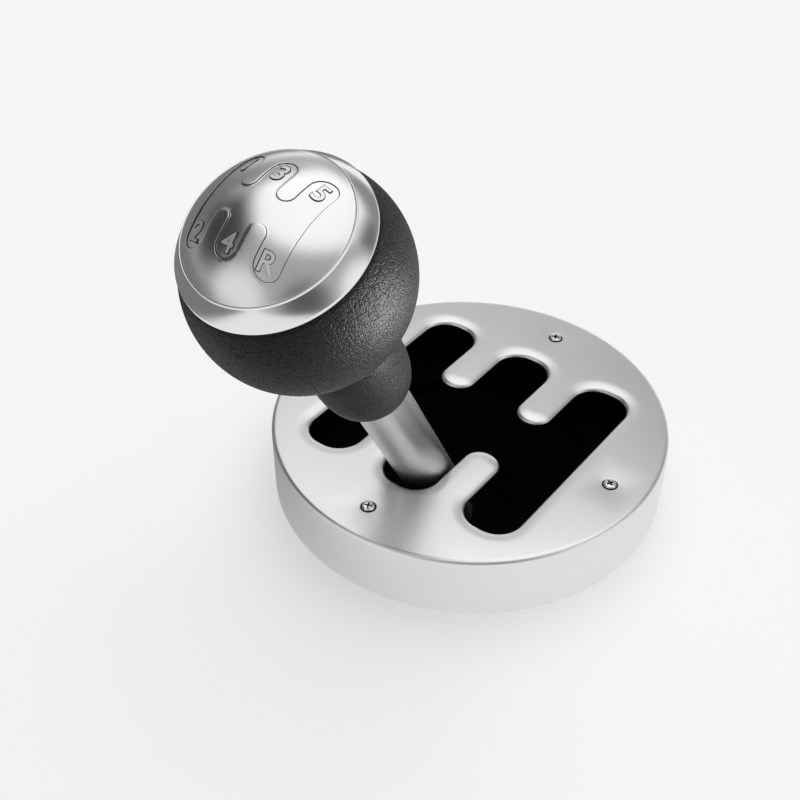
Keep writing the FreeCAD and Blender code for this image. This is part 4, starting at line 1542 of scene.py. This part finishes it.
@dataclass(frozen=True)
class SkyField:
    """A soft round field of the sky that is brighter or darker than the rest."""

    name: str
    towards: tuple[float, float, float]
    inner: float
    outer: float
    amount: float

    def share(self, tree: Tree, spot: Wire) -> Wire:
        """Give how far a direction lies in the field.

        Args:
            tree: The sky's tree.
            spot: The direction.

        Returns:
            1 in the field's middle, easing to 0 at its edge.
        """
        way = Vector(self.towards).normalized()
        facing = tree.add("ShaderNodeVectorMath", {"operation": "DOT_PRODUCT"},
                          {0: spot, 1: tuple(way)}, "Value")
        return facing.smooth(math.cos(math.radians(self.outer)), math.cos(math.radians(self.inner)))


@dataclass
class Studio:
    """The pale floor, the soft lights and the camera."""

    floor_hole: float = 47.0 * MM
    floor_reach: float = 6.0
    floor_drop: float = 0.02 * MM
    floor_tone: float = 0.80
    floor_glow: float = 0.5
    # Painted reflection: the dark and bright glow that glossy rays see on the floor.
    floor_painted_reflection: tuple[float, float] = (0.14, 0.88)
    floor_mirror: float = 0.92
    beside_x: tuple[float, float] = (-0.10, 0.06)
    beside_y: tuple[float, float] = (-0.10, -0.05)
    beyond_x: tuple[float, float] = (-0.17, -0.11)
    beyond_y: tuple[float, float] = (0.15, 0.50)
    backdrop: float = 0.9216
    sky: float = 0.42
    fields: tuple[SkyField, ...] = (
        SkyField("overhead", (0.0, 0.25, 0.95), 35, 50, 0.74),
        SkyField("back_wall", (-0.48, 0.68, 0.50), 18, 44, 0.16),
        SkyField("near_horizon", (-0.25, -0.95, 0.12), 12, 32, 0.45),
        SkyField("right_horizon", (0.97, 0.20, 0.12), 10, 28, 0.55),
        SkyField("far_horizon", (-0.40, 0.92, 0.05), 16, 36, 0.50),
        SkyField("right_flag", (0.73, -0.68, 0.17), 4, 30, -0.32),
        SkyField("far_flag", (0.56, 0.66, 0.48), 5, 18, -0.28),
        SkyField("left_flag", (-0.76, -0.34, 0.52), 12, 34, -0.38),
        SkyField("left_wall", (-0.68, 0.52, 0.52), 8, 24, -0.26),
        SkyField("low_left_flag", (-0.93, 0.22, 0.12), 8, 24, -0.24),
    )
    card_place: tuple[float, float, float] = (-0.10, 0.365, 0.25)
    card_size: tuple[float, float] = (0.40, 0.24)
    card_soft: float = 0.13
    card_tone: float = 0.46
    card_dark: float = 0.26
    card_shade: tuple[float, float] = (-0.17, -0.06)
    sun_from: tuple[float, float, float] = (-0.02, 0.48, 0.85)
    sun_angle: float = 75.0
    sun_power: float = 1.45
    rim_place: tuple[float, float, float] = (0.120, 0.0, 0.043)
    rim_target: tuple[float, float, float] = (0.0, -0.059, 0.092)
    rim_size: float = 0.11
    rim_power: float = 0.6
    camera: tuple[float, float, float] = (0.12882, -0.19563, 0.22017)
    look: tuple[float, float, float] = (-0.46637, 0.60402, -0.64630)
    lens: float = 54.96
    sensor: float = 36.0
    clip: tuple[float, float] = (0.01, 50.0)

    def build(self, leather: list[bpy.types.Object]) -> None:
        """Build the whole stage.

        Args:
            leather: The pieces that the small rim light falls on.
        """
        self._floor()
        self._world()
        self._card()
        self._sun()
        self._rim(leather)
        self._camera()
        bpy.context.scene.view_settings.view_transform = "Standard"

    def _staged(self, form: bmesh.types.BMesh, name: str) -> tuple[bpy.types.Object, Tree]:
        """Put a form on the stage with an empty material.

        Args:
            form: The form, which is freed.
            name: Its name.

        Returns:
            Its object and the tree of its material.
        """
        mesh = smooth_mesh(form, name)
        material = bpy.data.materials.new(name)
        material.use_nodes = True
        mesh.materials.append(material)
        item = in_scene(name, mesh)
        return item, Tree(material.node_tree)

    def _glow(self, tree: Tree, strength: float | Wire) -> Wire:
        """Give a neutral glow of a strength."""
        return tree.add("ShaderNodeEmission", None, {"Color": grey(1.0), "Strength": strength})

    def _floor(self) -> None:
        """Lay the floor, with the hole that the housing hangs through.

        The camera sees it evenly pale with its shadow. For glossy rays it glows as a painted
        reflection of shade, bright in front of the object and dark beside and beyond it.
        """
        form = bmesh.new()
        inner, outer = ([form.verts.new((*spot, 0)) for spot in ring_points((0, 0), reach, 128)]
                        for reach in (self.floor_hole, self.floor_reach))
        bridge(form, inner, outer)
        bmesh.ops.recalc_face_normals(form, faces=form.faces)
        form.transform(Matrix.Translation((0, 0, -self.floor_drop)))
        _, tree = self._staged(form, "floor")
        spot = tree.add("ShaderNodeTexCoord", output="Object")
        across, along = (tree.add("ShaderNodeSeparateXYZ", None, {0: spot}, axis)
                         for axis in ("X", "Y"))
        # Painted reflection: dark fields beside and beyond the object, seen only by glossy rays.
        beside = along.smooth(*self.beside_y) * (1 - across.smooth(*self.beside_x))
        beyond = (1 - across.smooth(*self.beyond_x)) * (1 - along.smooth(*self.beyond_y))
        dark, bright = self.floor_painted_reflection
        tone = bright - (beside + beyond - beside * beyond) * (bright - dark)
        matt = tree.add("ShaderNodeBsdfDiffuse", None, {"Color": grey(self.floor_tone)})
        calm = tree.add("ShaderNodeMixShader", None,
                        {0: self.floor_glow, 1: matt, 2: self._glow(tree, self.backdrop)})
        mirrored = tree.add("ShaderNodeLightPath", output="Is Glossy Ray") * self.floor_mirror
        mixed = tree.add("ShaderNodeMixShader", None,
                         {0: mirrored, 1: calm, 2: self._glow(tree, tone)})
        tree.add("ShaderNodeOutputMaterial", None, {"Surface": mixed})

    def _world(self) -> None:
        """Light the sky: plain for the camera, with soft bright and dark fields for the metal."""
        world = bpy.data.worlds.new("studio")
        bpy.context.scene.world = world
        world.use_nodes = True
        tree = Tree(world.node_tree)
        spot = tree.add("ShaderNodeTexCoord", output="Generated")
        level = sum((part.share(tree, spot) * part.amount for part in self.fields), self.sky)
        plain, shaped = (tree.add("ShaderNodeBackground", None,
                                  {"Color": grey(1.0), "Strength": strength})
                         for strength in (self.backdrop, level))
        seen = tree.add("ShaderNodeLightPath", output="Is Camera Ray")
        mixed = tree.add("ShaderNodeMixShader", None, {0: seen, 1: shaped, 2: plain})
        tree.add("ShaderNodeOutputWorld", None, {"Surface": mixed})

    def _card(self) -> None:
        """Hang the grey card with its soft near edge, which the plate's far half reflects."""
        form = bmesh.new()
        bmesh.ops.create_grid(form, x_segments=1, y_segments=1, size=1.0)
        half_wide, half_long = self.card_size
        form.transform(Matrix.Translation(self.card_place)
                       @ Matrix.Diagonal((half_wide, half_long, 1, 1)))
        card, tree = self._staged(form, "card")
        spot = tree.add("ShaderNodeTexCoord", output="Object")
        across, along = (tree.add("ShaderNodeSeparateXYZ", None, {0: spot}, axis)
                         for axis in ("X", "Y"))
        near_edge = self.card_place[1] - half_long
        cover = along.smooth(near_edge, near_edge + self.card_soft)
        tone = self.card_tone - across.smooth(*self.card_shade) * (self.card_tone - self.card_dark)
        clear = tree.add("ShaderNodeBsdfTransparent")
        shader = tree.add("ShaderNodeMixShader", None,
                          {0: cover, 1: clear, 2: self._glow(tree, tone)})
        tree.add("ShaderNodeOutputMaterial", None, {"Surface": shader})
        card.visible_camera = False
        card.visible_shadow = False
        card.visible_diffuse = False

    def _aimed(self, name: str, data: bpy.types.ID, place: tuple[float, float, float],
               way: Vector) -> bpy.types.Object:
        """Put a lamp or camera into the scene, turned along a direction.

        Args:
            name: Its name.
            data: The lamp or camera.
            place: Where it stands.
            way: Where it points.

        Returns:
            Its object.
        """
        item = in_scene(name, data)
        item.location = place
        item.rotation_mode = "QUATERNION"
        item.rotation_quaternion = way.to_track_quat("-Z", "Y")
        return item

    def _sun(self) -> None:
        """Hang the wide soft sun that gives the floor its shadow."""
        light = bpy.data.lights.new("sun", "SUN")
        light.angle = math.radians(self.sun_angle)
        light.energy = self.sun_power
        lamp = self._aimed("sun", light, (0, 0, 0), -Vector(self.sun_from))
        lamp.visible_glossy = False

    def _rim(self, leather: list[bpy.types.Object]) -> None:
        """Set a small soft light low on the right that only the leather takes.

        Args:
            leather: The pieces that it falls on.
        """
        light = bpy.data.lights.new("rim", "AREA")
        light.shape = "DISK"
        light.size = self.rim_size
        light.energy = self.rim_power
        lamp = self._aimed("rim", light, self.rim_place,
                           Vector(self.rim_target) - Vector(self.rim_place))
        lamp.visible_camera = False
        lit = bpy.data.collections.new("leather_lit")
        for piece in leather:
            lit.objects.link(piece)
        lamp.light_linking.receiver_collection = lit

    def _camera(self) -> None:
        """Stand the camera at the photograph's place."""
        camera = bpy.data.cameras.new("camera")
        camera.lens = self.lens
        camera.sensor_width = self.sensor
        camera.clip_start, camera.clip_end = self.clip
        bpy.context.scene.camera = self._aimed("camera", camera, self.camera, Vector(self.look))


def main() -> None:
    """Build every piece in order."""
    logging.basicConfig(level=logging.INFO, format="%(message)s")
    plate = GatePlate()
    # Painted shade: the plate's faces under its rolled edge are black, and its screw seats are
    # marked dark.
    plate.build(SatinMetal("plate_aluminium", 0.84, 0.36, shade_black_below=15.85 * MM, marked_shade=0.01))
    screws = PlateScrews(plate.screw_circle, plate.height - plate.seat_depth)
    # Painted shade: each screw is black below the plate's top, round its head in the seat and at
    # the bottom of its recess.
    screws.build(SatinMetal("bright_steel", 0.85, 0.2, shade_black_below=plate.height))
    lever = LeverFrame.from_joint(frame["joints"][0])
    LeverRod(lever).build(SatinMetal("rod_steel", 0.62, 0.40))
    knob = KnobHead(lever)
    middle = lever.axis.dot(lever.knob.translation)
    ball = knob.build_ball(Leather("ball_leather", 0.0002, 0.009, 1400.0, axis=tuple(lever.axis),
                                   coarse_from=middle - 4 * MM, coarse_to=middle + 14 * MM))
    collar = knob.build_collar(Leather("collar_leather", 0.0002, 0.008, 1600.0))
    knob.build_ring(SatinMetal("ring_metal", 0.85, 0.16))
    # Painted shade: the cap's pattern wall and the numerals' outlines take the dark colour.
    knob.build_cap(SatinMetal("cap_metal", 0.80, 0.22, marked_shade=0.02))
    knob.build_numerals(SatinMetal("numeral_metal", 0.80, 0.45, marked_shade=0.02))
    Underside().dress(frame["nodes"])
    Studio().build([ball, collar])


if __name__ == "__main__":
    main()
